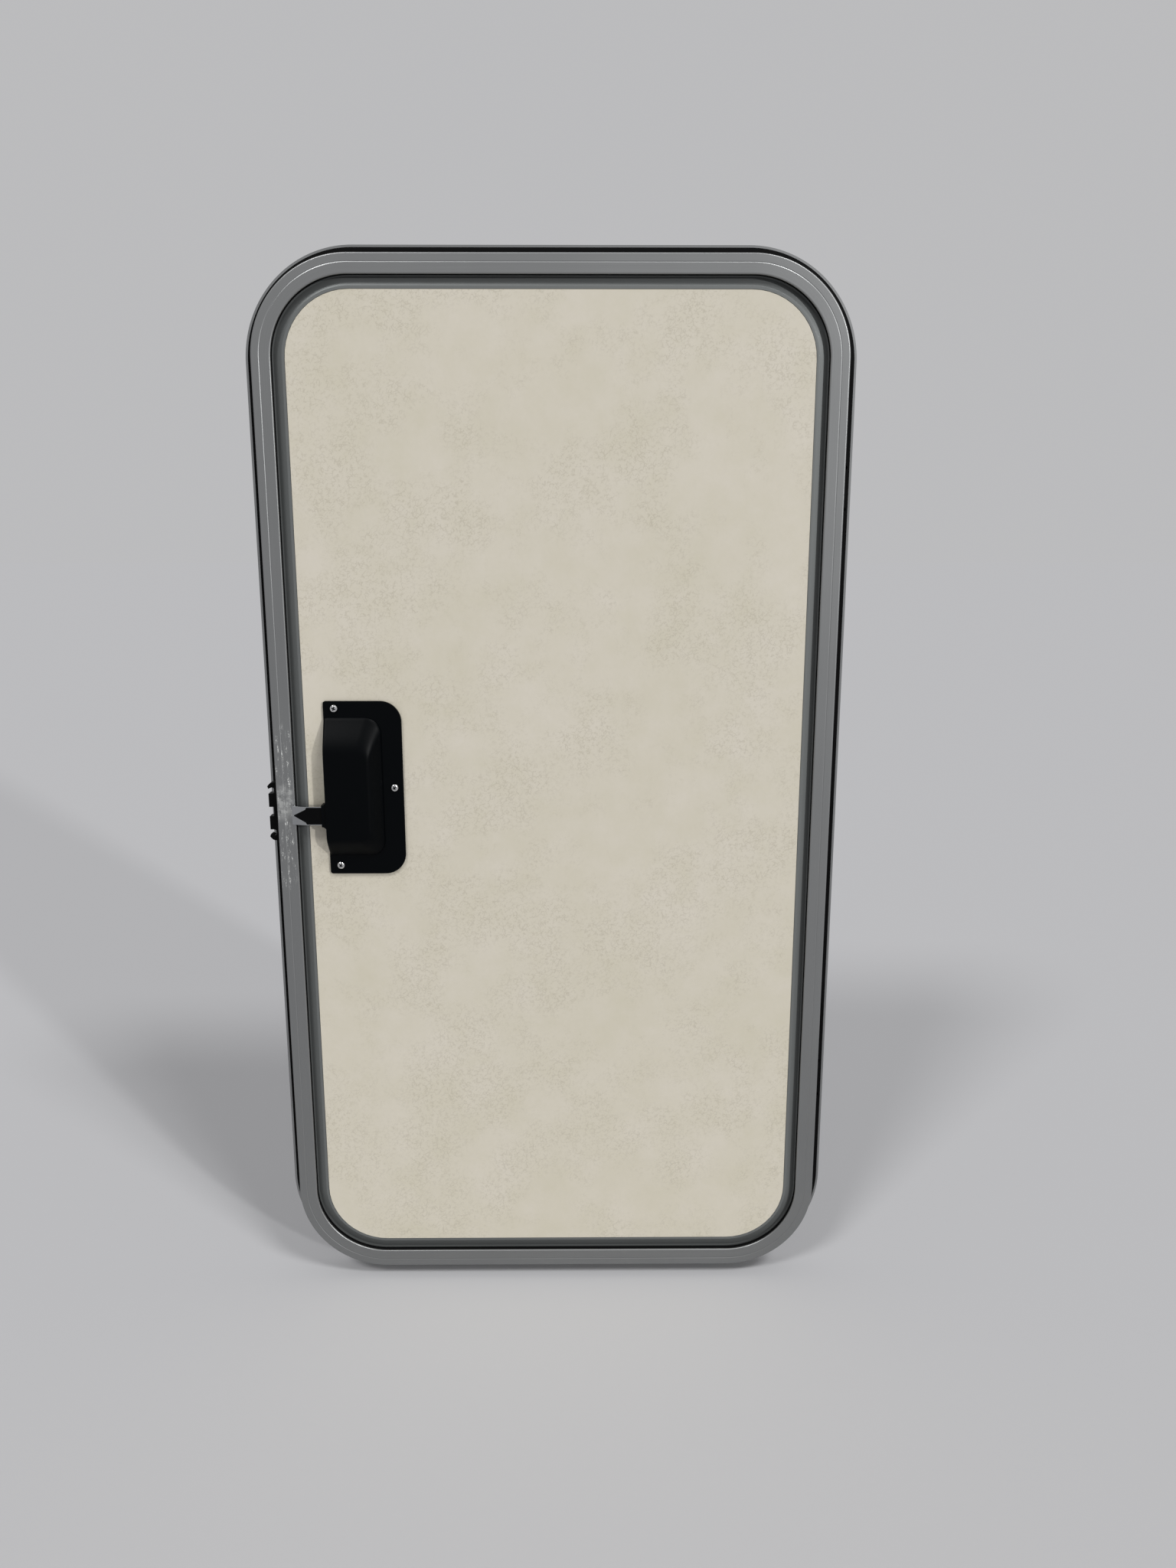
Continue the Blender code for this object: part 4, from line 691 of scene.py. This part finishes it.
# %% Leaf edge profile: section
board_edge = -(PANEL_INSET - FIT)
ledge_end = -(PANEL_INSET + RIM_LEDGE)
ledge_y = PANEL_BACK_Y + FIT
slope_start = board_edge + RIM_FLAT
section = [(ledge_end, ledge_y), (board_edge, ledge_y), (board_edge, RIM_Y + RIM_CHAMFER)]
section += [(board_edge + RIM_CHAMFER_MIDDLE, RIM_Y + RIM_CHAMFER_MIDDLE)]
section += [(board_edge + RIM_CHAMFER, RIM_Y), (slope_start - RIM_ROUND, RIM_Y)]
section += [(slope_start - RIM_ROUND / 3, RIM_Y + RIM_EASE)]
section += [(slope_start + RIM_ROUND / 3, RIM_Y + RIM_DROP), (-RIM_SLOPE_END, REST_Y)]
corner_out = LEAF_EDGE - LEAF_CORNER_R
section += arc((corner_out, REST_Y + LEAF_CORNER_R), LEAF_CORNER_R, -90, 0, LEAF_CORNER_STEPS)
section += arc((corner_out, LEAF_OUT_Y - LEAF_CORNER_R), LEAF_CORNER_R, 0, 90, LEAF_CORNER_STEPS)
lip_end = LEAF_EDGE - LEAF_LIP_W
lip_y = LEAF_OUT_Y - LEAF_LIP_T
wall_in = LEAF_EDGE - RIM_WALL
section += [(lip_end + LEAF_LIP_CHAMFER, LEAF_OUT_Y), (lip_end, LEAF_OUT_Y - LEAF_LIP_CHAMFER)]
section += [(lip_end, lip_y), (wall_in, lip_y), (wall_in, REST_Y + RIM_WALL)]
section += [(-RIM_SLOPE_END, REST_Y + RIM_WALL), (slope_start, RIM_Y + RIM_WALL)]
section += [(board_edge + RIM_WALL, RIM_Y + RIM_WALL), (board_edge + RIM_WALL, ledge_y + RIM_WALL)]
section += [(ledge_end, ledge_y + RIM_WALL)]
edge = piece(
    "leaf_edge", sweep(section), "leaf", "edge_profile", edge_painted_shade_finish, PROFILE_ANGLE
)
print("leaf edge:", len(edge.data.polygons), "faces")

# %% [markdown]
# The latch cover is a thin moulding: a flat plate with two large corners on the side away from the
# latch, and a dome that slopes down to the plate on three sides and ends in a straight wall on the
# fourth. It could be shaped from a subdivided box, but that would soften its corners at will. So it
# starts as two rounded rectangles, the plate's outline and the dome's foot, with the flat between
# them bridged.

# %% Latch cover: sizes
COVER_X0 = -0.219
COVER_X1 = -0.145
COVER_Z0 = CENTRE_Z - 0.0669
COVER_Z1 = CENTRE_Z + 0.1036
COVER_BACK_Y = PANEL_Y - FIT
COVER_Y = COVER_BACK_Y - 0.0022
COVER_WALL = 0.0018
PLATE_CORNERS = [0.0025, 0.020, 0.020, 0.0025]
DOME_X0 = COVER_X0 + 0.0002
DOME_X1 = COVER_X1 - 0.0194
DOME_Y = PANEL_Y - 0.0175
DOME_Z0 = COVER_Z0 + 0.0189
DOME_Z1 = COVER_Z1 - 0.0156
DOME_CORNERS = [0.003, 0.014, 0.016, 0.003]
CORNER_SEGMENTS = 14
print("cover:", round(COVER_X1 - COVER_X0, 4), "x", round(COVER_Z1 - COVER_Z0, 4))

# %% [markdown]
# Bevelling the four vertices of a face rounds its corners, each with its own radius. The face is then
# deleted and its edges stay, because they are all that is needed.

# %% Latch cover: a plate from two loops
def rounded_loop(bm, x0, x1, z0, z1, y, radii):
    """The edges of a rectangle with round corners: left bottom, right bottom, right top, left top."""
    spots = [(x0, z0), (x1, z0), (x1, z1), (x0, z1)]
    corners = [bm.verts.new((x, y, z)) for x, z in spots]
    bm.faces.new(corners)
    for corner, radius in zip(corners, radii):
        bmesh.ops.bevel(
            bm,
            geom=[corner],
            affect="VERTICES",
            offset=radius,
            offset_type="OFFSET",
            segments=CORNER_SEGMENTS,
            profile=0.5,
            material=-1,
        )
    face = max(bm.faces, key=lambda found: len(found.verts))
    loop = list(face.edges)
    bmesh.ops.delete(bm, geom=[face], context="FACES_ONLY")
    return loop


shell = bmesh.new()
plate = rounded_loop(shell, COVER_X0, COVER_X1, COVER_Z0, COVER_Z1, COVER_Y, PLATE_CORNERS)
base = rounded_loop(shell, DOME_X0, DOME_X1, DOME_Z0, DOME_Z1, COVER_Y, DOME_CORNERS)
bmesh.ops.bridge_loops(shell, edges=plate + base)
print("cover plate:", len(shell.faces), "faces")

# %% [markdown]
# The dome's foot is extruded level by level. Each level is scaled towards one point on the straight
# wall, the anchor, so the wall stays where it is while the other three sides lean in. A list gives how
# far in and how high each level is: a tight curve at the foot, a long slope, and a soft shoulder.

# %% Latch cover: raise the dome
RUN_TOP = 0.031
RUN_RIGHT = 0.0131
RUN_BOTTOM = 0.0185
DOME_LEAN = 0.0006
DOME_SHAPE = [(0.008, 0.055), (0.04, 0.105), (0.10, 0.165), (0.25, 0.325), (0.42, 0.51)]
DOME_SHAPE += [(0.58, 0.68), (0.68, 0.775), (0.76, 0.845), (0.83, 0.90), (0.89, 0.94)]
DOME_SHAPE += [(0.95, 0.97), (1.00, 0.988), (1.06, 1.0)]

anchor_z = DOME_Z0 + (DOME_Z1 - DOME_Z0) * RUN_BOTTOM / (RUN_BOTTOM + RUN_TOP)
anchor = Vector((DOME_X0, 0, anchor_z))
to_anchor = Matrix.Translation(anchor)
from_anchor = Matrix.Translation(-anchor)
undo = Matrix.Identity(4)
loop = base
for run, rise in DOME_SHAPE:
    wide = (DOME_X1 - anchor.x - RUN_RIGHT * run) / (DOME_X1 - anchor.x)
    tall = 1 - (RUN_TOP + RUN_BOTTOM) * run / (DOME_Z1 - DOME_Z0)
    lean = Matrix.Translation((DOME_LEAN * rise, 0, 0))
    level = Matrix.Translation((0, COVER_Y + (DOME_Y - COVER_Y) * rise, 0))
    shape = level @ lean @ to_anchor @ Matrix.Diagonal((wide, 0, tall, 1)) @ from_anchor
    moved, loop = extrude_loop(shell, loop)
    for vert in moved:
        vert.co = shape @ (undo @ vert.co)
    undo = to_anchor @ Matrix.Diagonal((1 / wide, 1, 1 / tall, 1)) @ from_anchor @ lean.inverted()
bmesh.ops.contextual_create(shell, geom=loop)
moved, loop = extrude_loop(shell, plate)
bmesh.ops.translate(shell, verts=moved, vec=(0, COVER_BACK_Y - COVER_Y, 0))
print("cover shell:", len(shell.faces), "faces")

# %% [markdown]
# Holes with exact edges are cut with a Boolean: a block stands where material has to go, and the
# modifier takes its shape away. The block isn't part of the door, so it is hidden and only staged.
# The modifiers are applied at once, so that the block can be removed again and the finished mesh is
# what the piece carries.

# %% Cut a block out of a piece
def block(low, high):
    """A box between two opposite corners."""
    bm = bmesh.new()
    size = Matrix.Diagonal((*(Vector(high) - Vector(low)), 1))
    middle = Matrix.Translation((Vector(low) + Vector(high)) / 2)
    bmesh.ops.create_cube(bm, size=1, matrix=middle @ size)
    return bm


def cut_away(obj, bm):
    """Takes the shape of bm out of an object, after the object's other modifiers."""
    bmesh.ops.recalc_face_normals(bm, faces=bm.faces)
    mesh = bpy.data.meshes.new("cutter")
    bm.to_mesh(mesh)
    bm.free()
    knife = bpy.data.objects.new("cutter", mesh)
    bpy.context.scene.collection.objects.link(knife)
    knife.hide_render = True
    knife.display_type = "WIRE"
    cut = obj.modifiers.new("cut", "BOOLEAN")
    cut.object = knife
    cut.solver = "EXACT"
    graph = bpy.context.evaluated_depsgraph_get()
    made = bpy.data.meshes.new_from_object(obj.evaluated_get(graph))
    obj.modifiers.clear()
    obj.data = made
    bpy.data.objects.remove(knife)


print("block() and cut_away() are ready")

# %% [markdown]
# So far the cover is a sheet without thickness. Solidify gives it the wall of a real moulding, on the
# inside, and a block cuts the bolt's way out through the straight wall.

# %% Latch cover: wall and the bolt's way out
BOLT_Z = CENTRE_Z - 0.006
BOLT_H = 0.0182
BOLT_BACK_Y = FACE_Y - FIT
BOLT_FRONT_Y = BOLT_BACK_Y - 0.0094
WAY_FAR = 0.010
WAY_NEAR = 0.006
way_low = (BOLT_FRONT_Y - FIT, BOLT_Z - BOLT_H / 2 - FIT)
way_high = (BOLT_BACK_Y + FIT, BOLT_Z + BOLT_H / 2 + FIT)

cover = piece("latch_cover", shell, "leaf", "lock_cover", abs_finish)
wall = cover.modifiers.new("wall", "SOLIDIFY")
wall.thickness = COVER_WALL
wall.offset = -1.0
cut_away(cover, block((COVER_X0 - WAY_FAR, *way_low), (COVER_X0 + WAY_NEAR, *way_high)))
print("cover:", len(cover.data.polygons), "faces")

# %% [markdown]
# A collar stands round the bolt where it leaves the cover, and flares softly into the wall. A bevel
# between collar and wall would be even all round, and the real flare is only above and below. So a
# rectangle is extruded outwards in short steps, and each step takes a little off its height along a
# power curve, which is steep at the wall and flat at the end.

# %% Latch cover: flared collar
COLLAR_OUT = 0.0036
COLLAR_SUNK = 0.001
COLLAR_FLARE = 0.0030
COLLAR_CURVE = 2.2
COLLAR_WALL = 0.0014
COLLAR_LEVELS = 9
COLLAR_EDGE_R = 0.0008

collar = bmesh.new()
spread_y = (BOLT_BACK_Y - BOLT_FRONT_Y) / 2 + FIT + COLLAR_WALL
spread_z = BOLT_H / 2 + FIT
middle = Vector((COVER_X0 + COLLAR_SUNK, (BOLT_BACK_Y + BOLT_FRONT_Y) / 2, BOLT_Z))
spots = [(-spread_y, -1), (spread_y, -1), (spread_y, 1), (-spread_y, 1)]
moved = [collar.verts.new(middle + Vector((0, y, side * spread_z))) for y, side in spots]
loop = [collar.edges.new((moved[k - 1], moved[k])) for k in range(4)]
collar.faces.new(moved)
grown = 0.0
for k in range(COLLAR_LEVELS + 1):
    grow = COLLAR_WALL + COLLAR_FLARE * (1 - k / COLLAR_LEVELS) ** COLLAR_CURVE
    if k > 0:
        moved, loop = extrude_loop(collar, loop)
        step = (COLLAR_OUT + COLLAR_SUNK) / COLLAR_LEVELS
        bmesh.ops.translate(collar, verts=moved, vec=(-step, 0, 0))
    for vert in moved:
        vert.co.z += (grow - grown) * (1 if vert.co.z > BOLT_Z else -1)
    grown = grow
bmesh.ops.contextual_create(collar, geom=loop)
print("collar before its hole:", len(collar.faces), "faces")

# %% [markdown]
# The collar's long edges are rounded as on any moulding, and the bolt's way is cut through it with the
# same block as through the cover, only longer.

# %% Latch cover: round the collar and cut it open
LONG_ENOUGH = 1e-5
COLLAR_WAY_FAR = 0.020
COLLAR_WAY_NEAR = 0.010

long_edges = [edge for edge in collar.edges
              if abs(edge.verts[0].co.x - edge.verts[1].co.x) > LONG_ENOUGH]
bmesh.ops.bevel(
    collar, geom=long_edges, offset=COLLAR_EDGE_R, offset_type="OFFSET", segments=3, profile=0.5,
    affect="EDGES", material=-1,
)
collar = piece("bolt_collar", collar, "leaf", "lock_cover", abs_finish)
cut_away(collar, block((COVER_X0 - COLLAR_WAY_FAR, *way_low), (COVER_X0 + COLLAR_WAY_NEAR, *way_high)))
print("collar:", len(collar.data.polygons), "faces")

# %% [markdown]
# The smaller hard parts keep the shape of their solids. Real parts have no perfectly sharp edge, and
# it is the rounded edge that catches the light, so a copy of each solid is cleaned and bevelled. The
# solid's triangles are merged and its flat faces joined first, because a bevel across triangles of one
# flat would leave dents.

# %% Round the edges of a solid
FLAT_ANGLE = math.radians(1.0)


def refined(node, body, width, material, smooth):
    """A copy of a solid whose sharp edges are rounded to a width."""
    bm = bmesh.new()
    bm.from_mesh(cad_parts[node].data)
    bmesh.ops.remove_doubles(bm, verts=bm.verts, dist=SAME_SOLID_POINT)
    bmesh.ops.dissolve_limit(bm, angle_limit=FLAT_ANGLE, verts=bm.verts, edges=bm.edges)
    crisp = [edge for edge in bm.edges if edge.is_manifold and edge.calc_face_angle() > SMOOTH_ANGLE]
    bmesh.ops.bevel(
        bm, geom=crisp, offset=width, offset_type="OFFSET", segments=2, profile=0.5,
        affect="EDGES", clamp_overlap=True, material=-1,
    )
    return piece(node + "_detailed", bm, body, node, material, smooth)


print("refined() is ready")

# %% [markdown]
# Each part has its own width of rounding: wide on mouldings, narrow on pressed and turned metal. The
# bolt has many flats at small angles to each other, so its faces are kept apart at a smaller angle.

# %% Keeper, hinges, handle, bolt and key lock
BOLT_ANGLE = math.radians(9)
small_parts = [
    ("strike_keeper", "frame", 0.0004, plastic_finish, "black_plastic"),
    ("joint_plate", "frame", 0.0003, frame_finish, "frame_aluminium"),
    ("hinge_upper_frame_half", "frame", 0.0003, hinge_finish, "hinge_steel"),
    ("hinge_lower_frame_half", "frame", 0.0003, hinge_finish, "hinge_steel"),
    ("hinge_upper_leaf_half", "leaf", 0.0003, hinge_finish, "hinge_steel"),
    ("hinge_lower_leaf_half", "leaf", 0.0003, hinge_finish, "hinge_steel"),
    ("handle_plate", "leaf", 0.0004, handle_finish, "black_abs"),
    ("pull_handle", "handle", 0.0004, handle_finish, "black_abs"),
    ("latch_bolt", "bolt", 0.0003, chrome_finish, "chrome"),
    ("bolt_insert", "bolt", 0.0001, plastic_finish, "black_plastic"),
    ("key_cylinder", "leaf", 0.0002, zinc_finish, "zinc_steel"),
    ("key_plug", "key", 0.0002, chrome_finish, "chrome"),
]
for side in ("upper", "lower"):
    small_parts.append((f"hinge_{side}_pin", "frame", 0.0002, zinc_finish, "zinc_steel"))
    for end in ("low", "high"):
        small_parts.append((f"hinge_{side}_rivet_{end}", "frame", 0.0002, zinc_finish, "zinc_steel"))
for node, body, width, material, slot in small_parts:
    smooth = BOLT_ANGLE if body == "bolt" else SMOOTH_ANGLE
    made = refined(node, body, width, material, smooth)
    print(node, len(made.data.polygons), "faces")

# %% [markdown]
# The cover is held by three pan-head screws with cross recesses. Their places are given first, because
# the screws' finish needs them too. The head's outline is a list of radii and heights, as shares of
# the head's own radius and height.

# %% Screws: sizes and places
HEAD_R = 0.00385
HEAD_H = 0.0024
HEAD_SHAPE = [(0.0, 1.0), (0.25, 0.99), (0.45, 0.955), (0.62, 0.89), (0.76, 0.79), (0.87, 0.66)]
HEAD_SHAPE += [(0.94, 0.50), (0.985, 0.30), (1.0, 0.12), (0.99, 0.03), (0.96, 0.0)]
SHANK_R = 0.0019
POINT_L = 0.003
TURN_SIDES = 36
CROSS_L = 0.0046
CROSS_W = 0.0013
CROSS_DEEP = 0.0019
CROSS_ABOVE = 0.001
CROSS_TAPER = (0.5, 1, 0.6)
COVER_SEAT = COVER_Y - FIT
COVER_SCREWS = [
    ("cover_screw_top", COVER_X0 + 0.0105, COVER_Z1 - 0.0070, 0.35),
    ("cover_screw_side", COVER_X1 - 0.0085, COVER_Z0 + 0.0863, 1.05),
    ("cover_screw_bottom", COVER_X0 + 0.0105, COVER_Z0 + 0.0088, 0.7),
]
print("cover screws:", len(COVER_SCREWS), "with heads", 2 * HEAD_R, "wide")

# %% [markdown]
# The screws are brightly plated, and their crosses are painted dark: painted shade in the recesses.
# The shade could be a second material on the cross's faces, but a mask in the finish is softer: it is
# 1 close to a screw's axis and some way below the top of the head.

# %% Screws: finish
# painted shade: the colour given to the cross recesses
PAINTED_RECESS_SHADE = (0.012, 0.012, 0.012, 1.0)
PAINTED_SHADE_R = 0.0026
PAINTED_SHADE_DEEP = 0.0006
PLATING_SCALE = 900.0
PLATING_DEEP = 0.000004


def screw_metal():
    made = Finish("screw_finish", (0.62, 0.62, 0.62), 0.08, 1.0)
    x, y, z = made.axes()
    aside = 1.0
    for name, across, up, turn in COVER_SCREWS:
        off = ((x - across) * (x - across) + (z - up) * (z - up)) ** 0.5
        aside = off.lowest(aside)
    # painted shade: the cross recesses are darkened close to each cover screw's axis, below the head's
    # top
    inside = made.fall(aside / PAINTED_SHADE_R, 0.9, 1.0)
    below = made.rise((y - (COVER_SEAT - HEAD_H)) / PAINTED_SHADE_DEEP, 0.7, 1.0)
    painted_shade = inside * below
    haze = made.noise(made.place, PLATING_SCALE, rough=0.6)
    tint = made.mix(haze, (0.50, 0.50, 0.50, 1.0), (0.66, 0.66, 0.66, 1.0))
    made.feed("Base Color", made.mix(painted_shade, tint, PAINTED_RECESS_SHADE))
    made.feed("Roughness", 0.06 + haze * 0.06 + painted_shade * 0.4)
    made.bump(haze, PLATING_DEEP)
    return made.material


screw_finish = screw_metal()
print("screw finish made")

# %% [markdown]
# A screw is turned on a lathe, so half of its outline is spun once round its axis. The cross is then
# cut into its head. The slots of a real cross narrow with depth, so each cutter is a block whose deep
# end is scaled down.

# %% Screws: turn one and cut its cross
def screw(node, body, x, seat_y, z, into, length, turn):
    """A screw whose head seats at seat_y and which is driven along y, in the direction of into."""
    bm = bmesh.new()
    outline = [(HEAD_R * r, -into * HEAD_H * h) for r, h in HEAD_SHAPE]
    outline += [(SHANK_R, 0), (SHANK_R, into * (length - POINT_L)), (0, into * length)]
    verts = [bm.verts.new((r, y, 0)) for r, y in outline]
    edges = [bm.edges.new(pair) for pair in zip(verts, verts[1:])]
    bmesh.ops.spin(
        bm, geom=verts + edges, cent=(0, 0, 0), axis=(0, 1, 0), angle=2 * math.pi,
        steps=TURN_SIDES, use_merge=True,
    )
    place = Matrix.Translation((x, seat_y, z)) @ Matrix.Rotation(turn, 4, "Y")
    bmesh.ops.transform(bm, matrix=place, verts=bm.verts)
    made = piece(node + "_detailed", bm, body, node, screw_finish)
    top = -into * HEAD_H
    floor_y = top + into * CROSS_DEEP
    above_y = top - into * CROSS_ABOVE
    for k in range(2):
        low = (-CROSS_L / 2, min(floor_y, above_y), -CROSS_W / 2)
        high = (CROSS_L / 2, max(floor_y, above_y), CROSS_W / 2)
        slot = block(low, high)
        deep = [v for v in slot.verts if abs(v.co.y - floor_y) < abs(v.co.y - above_y)]
        bmesh.ops.scale(slot, verts=deep, vec=CROSS_TAPER)
        turned = place @ Matrix.Rotation(k * math.pi / 2, 4, "Y")
        bmesh.ops.transform(slot, matrix=turned, verts=slot.verts)
        cut_away(made, slot)
    made.data.set_sharp_from_angle(angle=SMOOTH_ANGLE)


print("screw() is ready")

# %% [markdown]
# Three screws go through the cover into the leaf. Two shorter ones, from outside, hold each of the two
# hinges. Neighbours have their crosses turned differently, because nobody lines them up.

# %% Screws: drive them all
COVER_SCREW_L = 0.022
HINGE_SCREW_L = 0.012
HINGE_LEAF_T = 0.0025
HINGE_X = 0.2665
HINGE_SCREW_IN = 0.0133
HINGE_LEVELS = (("upper", 0.300), ("lower", -0.300))
HINGE_SCREWS = (("low", -0.019, 0.2), ("high", 0.019, 0.9))

for name, across, up, turn in COVER_SCREWS:
    screw(name, "leaf", across, COVER_SEAT, up, 1, COVER_SCREW_L, turn)
hinge_seat = LEAF_OUT_Y + FIT + HINGE_LEAF_T + FIT
for side, level in HINGE_LEVELS:
    for end, shift, turn in HINGE_SCREWS:
        node = f"hinge_{side}_screw_{end}"
        up = CENTRE_Z + level + shift
        screw(node, "leaf", HINGE_X - HINGE_SCREW_IN, hinge_seat, up, -1, HINGE_SCREW_L, turn)
print("screws made")

# %% [markdown]
# The spring behind the bolt is one round wire wound on a helix. A curve could carry the wire, but spin
# does it in one call when it also moves along its axis with each step, and the end turns are wound
# close as on a real spring.

# %% Bolt spring
SPRING_R = 0.0032
WIRE_R = 0.0004
WIRE_SIDES = 8
TURN_STEPS = 24
OPEN_TURNS = 4
CLOSE_PITCH = 0.0009

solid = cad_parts["bolt_spring"].data.vertices
spring_x0 = min(vert.co.x for vert in solid)
spring_x1 = max(vert.co.x for vert in solid)
centre_y = (BOLT_BACK_Y + BOLT_FRONT_Y) / 2
spring = bmesh.new()
start = Matrix.Translation((spring_x0 + WIRE_R, centre_y, BOLT_Z + SPRING_R))
upright = Matrix.Rotation(math.pi / 2, 4, "X")
ring = bmesh.ops.create_circle(
    spring, cap_ends=False, radius=WIRE_R, segments=WIRE_SIDES, matrix=start @ upright
)["verts"]
first = list(spring.edges)
moved = ring + first
open_run = spring_x1 - spring_x0 - 2 * WIRE_R - 2 * CLOSE_PITCH
for turns, pitch in ((1, CLOSE_PITCH), (OPEN_TURNS, open_run / OPEN_TURNS), (1, CLOSE_PITCH)):
    moved = bmesh.ops.spin(
        spring,
        geom=moved,
        cent=(spring_x0, centre_y, BOLT_Z),
        axis=(1, 0, 0),
        dvec=(pitch / TURN_STEPS, 0, 0),
        angle=2 * math.pi * turns,
        steps=turns * TURN_STEPS,
        use_merge=False,
    )["geom_last"]
last = [item for item in moved if isinstance(item, bmesh.types.BMEdge)]
bmesh.ops.contextual_create(spring, geom=first)
bmesh.ops.contextual_create(spring, geom=last)
spring = piece("coil_spring", spring, "leaf", "bolt_spring", zinc_finish)
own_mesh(spring)
print("spring:", [round(size, 4) for size in spring.dimensions])

# %% [markdown]
# The camera stands a little over a metre from the door, higher than its middle, and looks slightly
# down. Its place and direction were worked out from the corners of the frame's face in the picture
# that was followed, so the door's outline falls in the same places.

# %% Camera
CAMERA_PLACE = (0.025, -1.138, 0.785)
CAMERA_LOOKS = (0.007, 0.975, -0.221)
SENSOR_MM = 36.0
LENS_MM = 27.07

camera_data = bpy.data.cameras.new("camera")
camera_data.sensor_width = SENSOR_MM
camera_data.lens = LENS_MM
camera = bpy.data.objects.new("camera", camera_data)
bpy.context.scene.collection.objects.link(camera)
camera.location = CAMERA_PLACE
camera.rotation_euler = Vector(CAMERA_LOOKS).to_track_quat("-Z", "Y").to_euler()
bpy.context.scene.camera = camera
print("camera:", camera_data.lens, "mm lens")

# %% [markdown]
# The world gives an even light that fills the shadows. What the camera sees behind the door, and what
# metal mirrors, is a paler grey than that light, so the world has two levels: Light Path tells a ray
# that is seen or mirrored from one that only lights a surface, and Map Range picks the level.

# %% World
WORLD_LEVEL = 0.36
BACKGROUND_LEVEL = 0.50
WORLD_TINT = (1.0, 1.0, 1.02, 1.0)

world = bpy.data.worlds.new("studio")
world.use_nodes = True
bpy.context.scene.world = world
tree = world.node_tree
rays = tree.nodes.new("ShaderNodeLightPath")
seen = rays.outputs["Is Camera Ray"]
for kind in ("Is Glossy Ray", "Is Transmission Ray"):
    either = tree.nodes.new("ShaderNodeMath")
    either.operation = "MAXIMUM"
    tree.links.new(seen, either.inputs[0])
    tree.links.new(rays.outputs[kind], either.inputs[1])
    seen = either.outputs[0]
level = tree.nodes.new("ShaderNodeMapRange")
level.inputs["To Min"].default_value = WORLD_LEVEL
level.inputs["To Max"].default_value = BACKGROUND_LEVEL
tree.links.new(seen, level.inputs["Value"])
tree.nodes["Background"].inputs["Color"].default_value = WORLD_TINT
tree.links.new(level.outputs["Result"], tree.nodes["Background"].inputs["Strength"])
print("world:", WORLD_LEVEL, "as light,", BACKGROUND_LEVEL, "as seen")

# %% [markdown]
# Three soft lamps stand in front of the door: a low one and a high one on the right, and a high one on
# the left. Sun lamps light all parts of a tall door alike, which an area lamp close by would not. Each
# is given by the way its light travels, its strength and the width of its disc in degrees, which sets
# how soft its shadows are.

# %% Lamps
LAMPS = [
    ("low_right", (-0.85, 1.0, -0.36), 1.30, 3.0),
    ("high_right", (-0.86, 1.0, -1.77), 1.10, 12),
    ("high_left", (0.66, 1.0, -1.30), 1.00, 12),
]

for name, travels, strength, width in LAMPS:
    lamp_data = bpy.data.lights.new(name, "SUN")
    lamp_data.energy = strength
    lamp_data.angle = math.radians(width)
    lamp = bpy.data.objects.new(name, lamp_data)
    bpy.context.scene.collection.objects.link(lamp)
    lamp.rotation_euler = Vector(travels).to_track_quat("-Z", "Y").to_euler()
print("lamps:", len(LAMPS))

# %% [markdown]
# The floor is a large plain sheet that only catches the door's shadow, so its far edge shouldn't
# show. A sheet of shade s in this light looks as bright as s times the sum of the world's light and
# each lamp's share, so the shade that makes it as bright as the world is found by dividing. Floor
# and background then run into each other without a line.

# %% Floor
FLOOR_SIZE = 20.0
FLOOR_DROP = 0.0002
FLOOR_COOL = 1.02
FLOOR_ROUGH = 0.95

lamp_share = 0.0
for name, travels, strength, width in LAMPS:
    lamp_share -= strength * Vector(travels).normalized().z / math.pi
floor_shade = BACKGROUND_LEVEL / (WORLD_LEVEL + lamp_share)
floor_bm = bmesh.new()
bmesh.ops.create_grid(floor_bm, x_segments=1, y_segments=1, size=FLOOR_SIZE)
bmesh.ops.translate(floor_bm, verts=floor_bm.verts, vec=(0, 0, cad_box[0][2] - FLOOR_DROP))
floor_mesh = bpy.data.meshes.new("floor")
floor_bm.to_mesh(floor_mesh)
floor_bm.free()
floor = bpy.data.objects.new("floor", floor_mesh)
bpy.context.scene.collection.objects.link(floor)
floor_colour = (floor_shade, floor_shade, floor_shade * FLOOR_COOL)
floor_finish = Finish("floor_finish", floor_colour, FLOOR_ROUGH)
floor_finish.shader.inputs["Specular IOR Level"].default_value = 0.0
floor_mesh.materials.append(floor_finish.material)
print("floor shade:", round(floor_shade, 3))

# %% View transform
bpy.context.scene.view_settings.view_transform = "Standard"
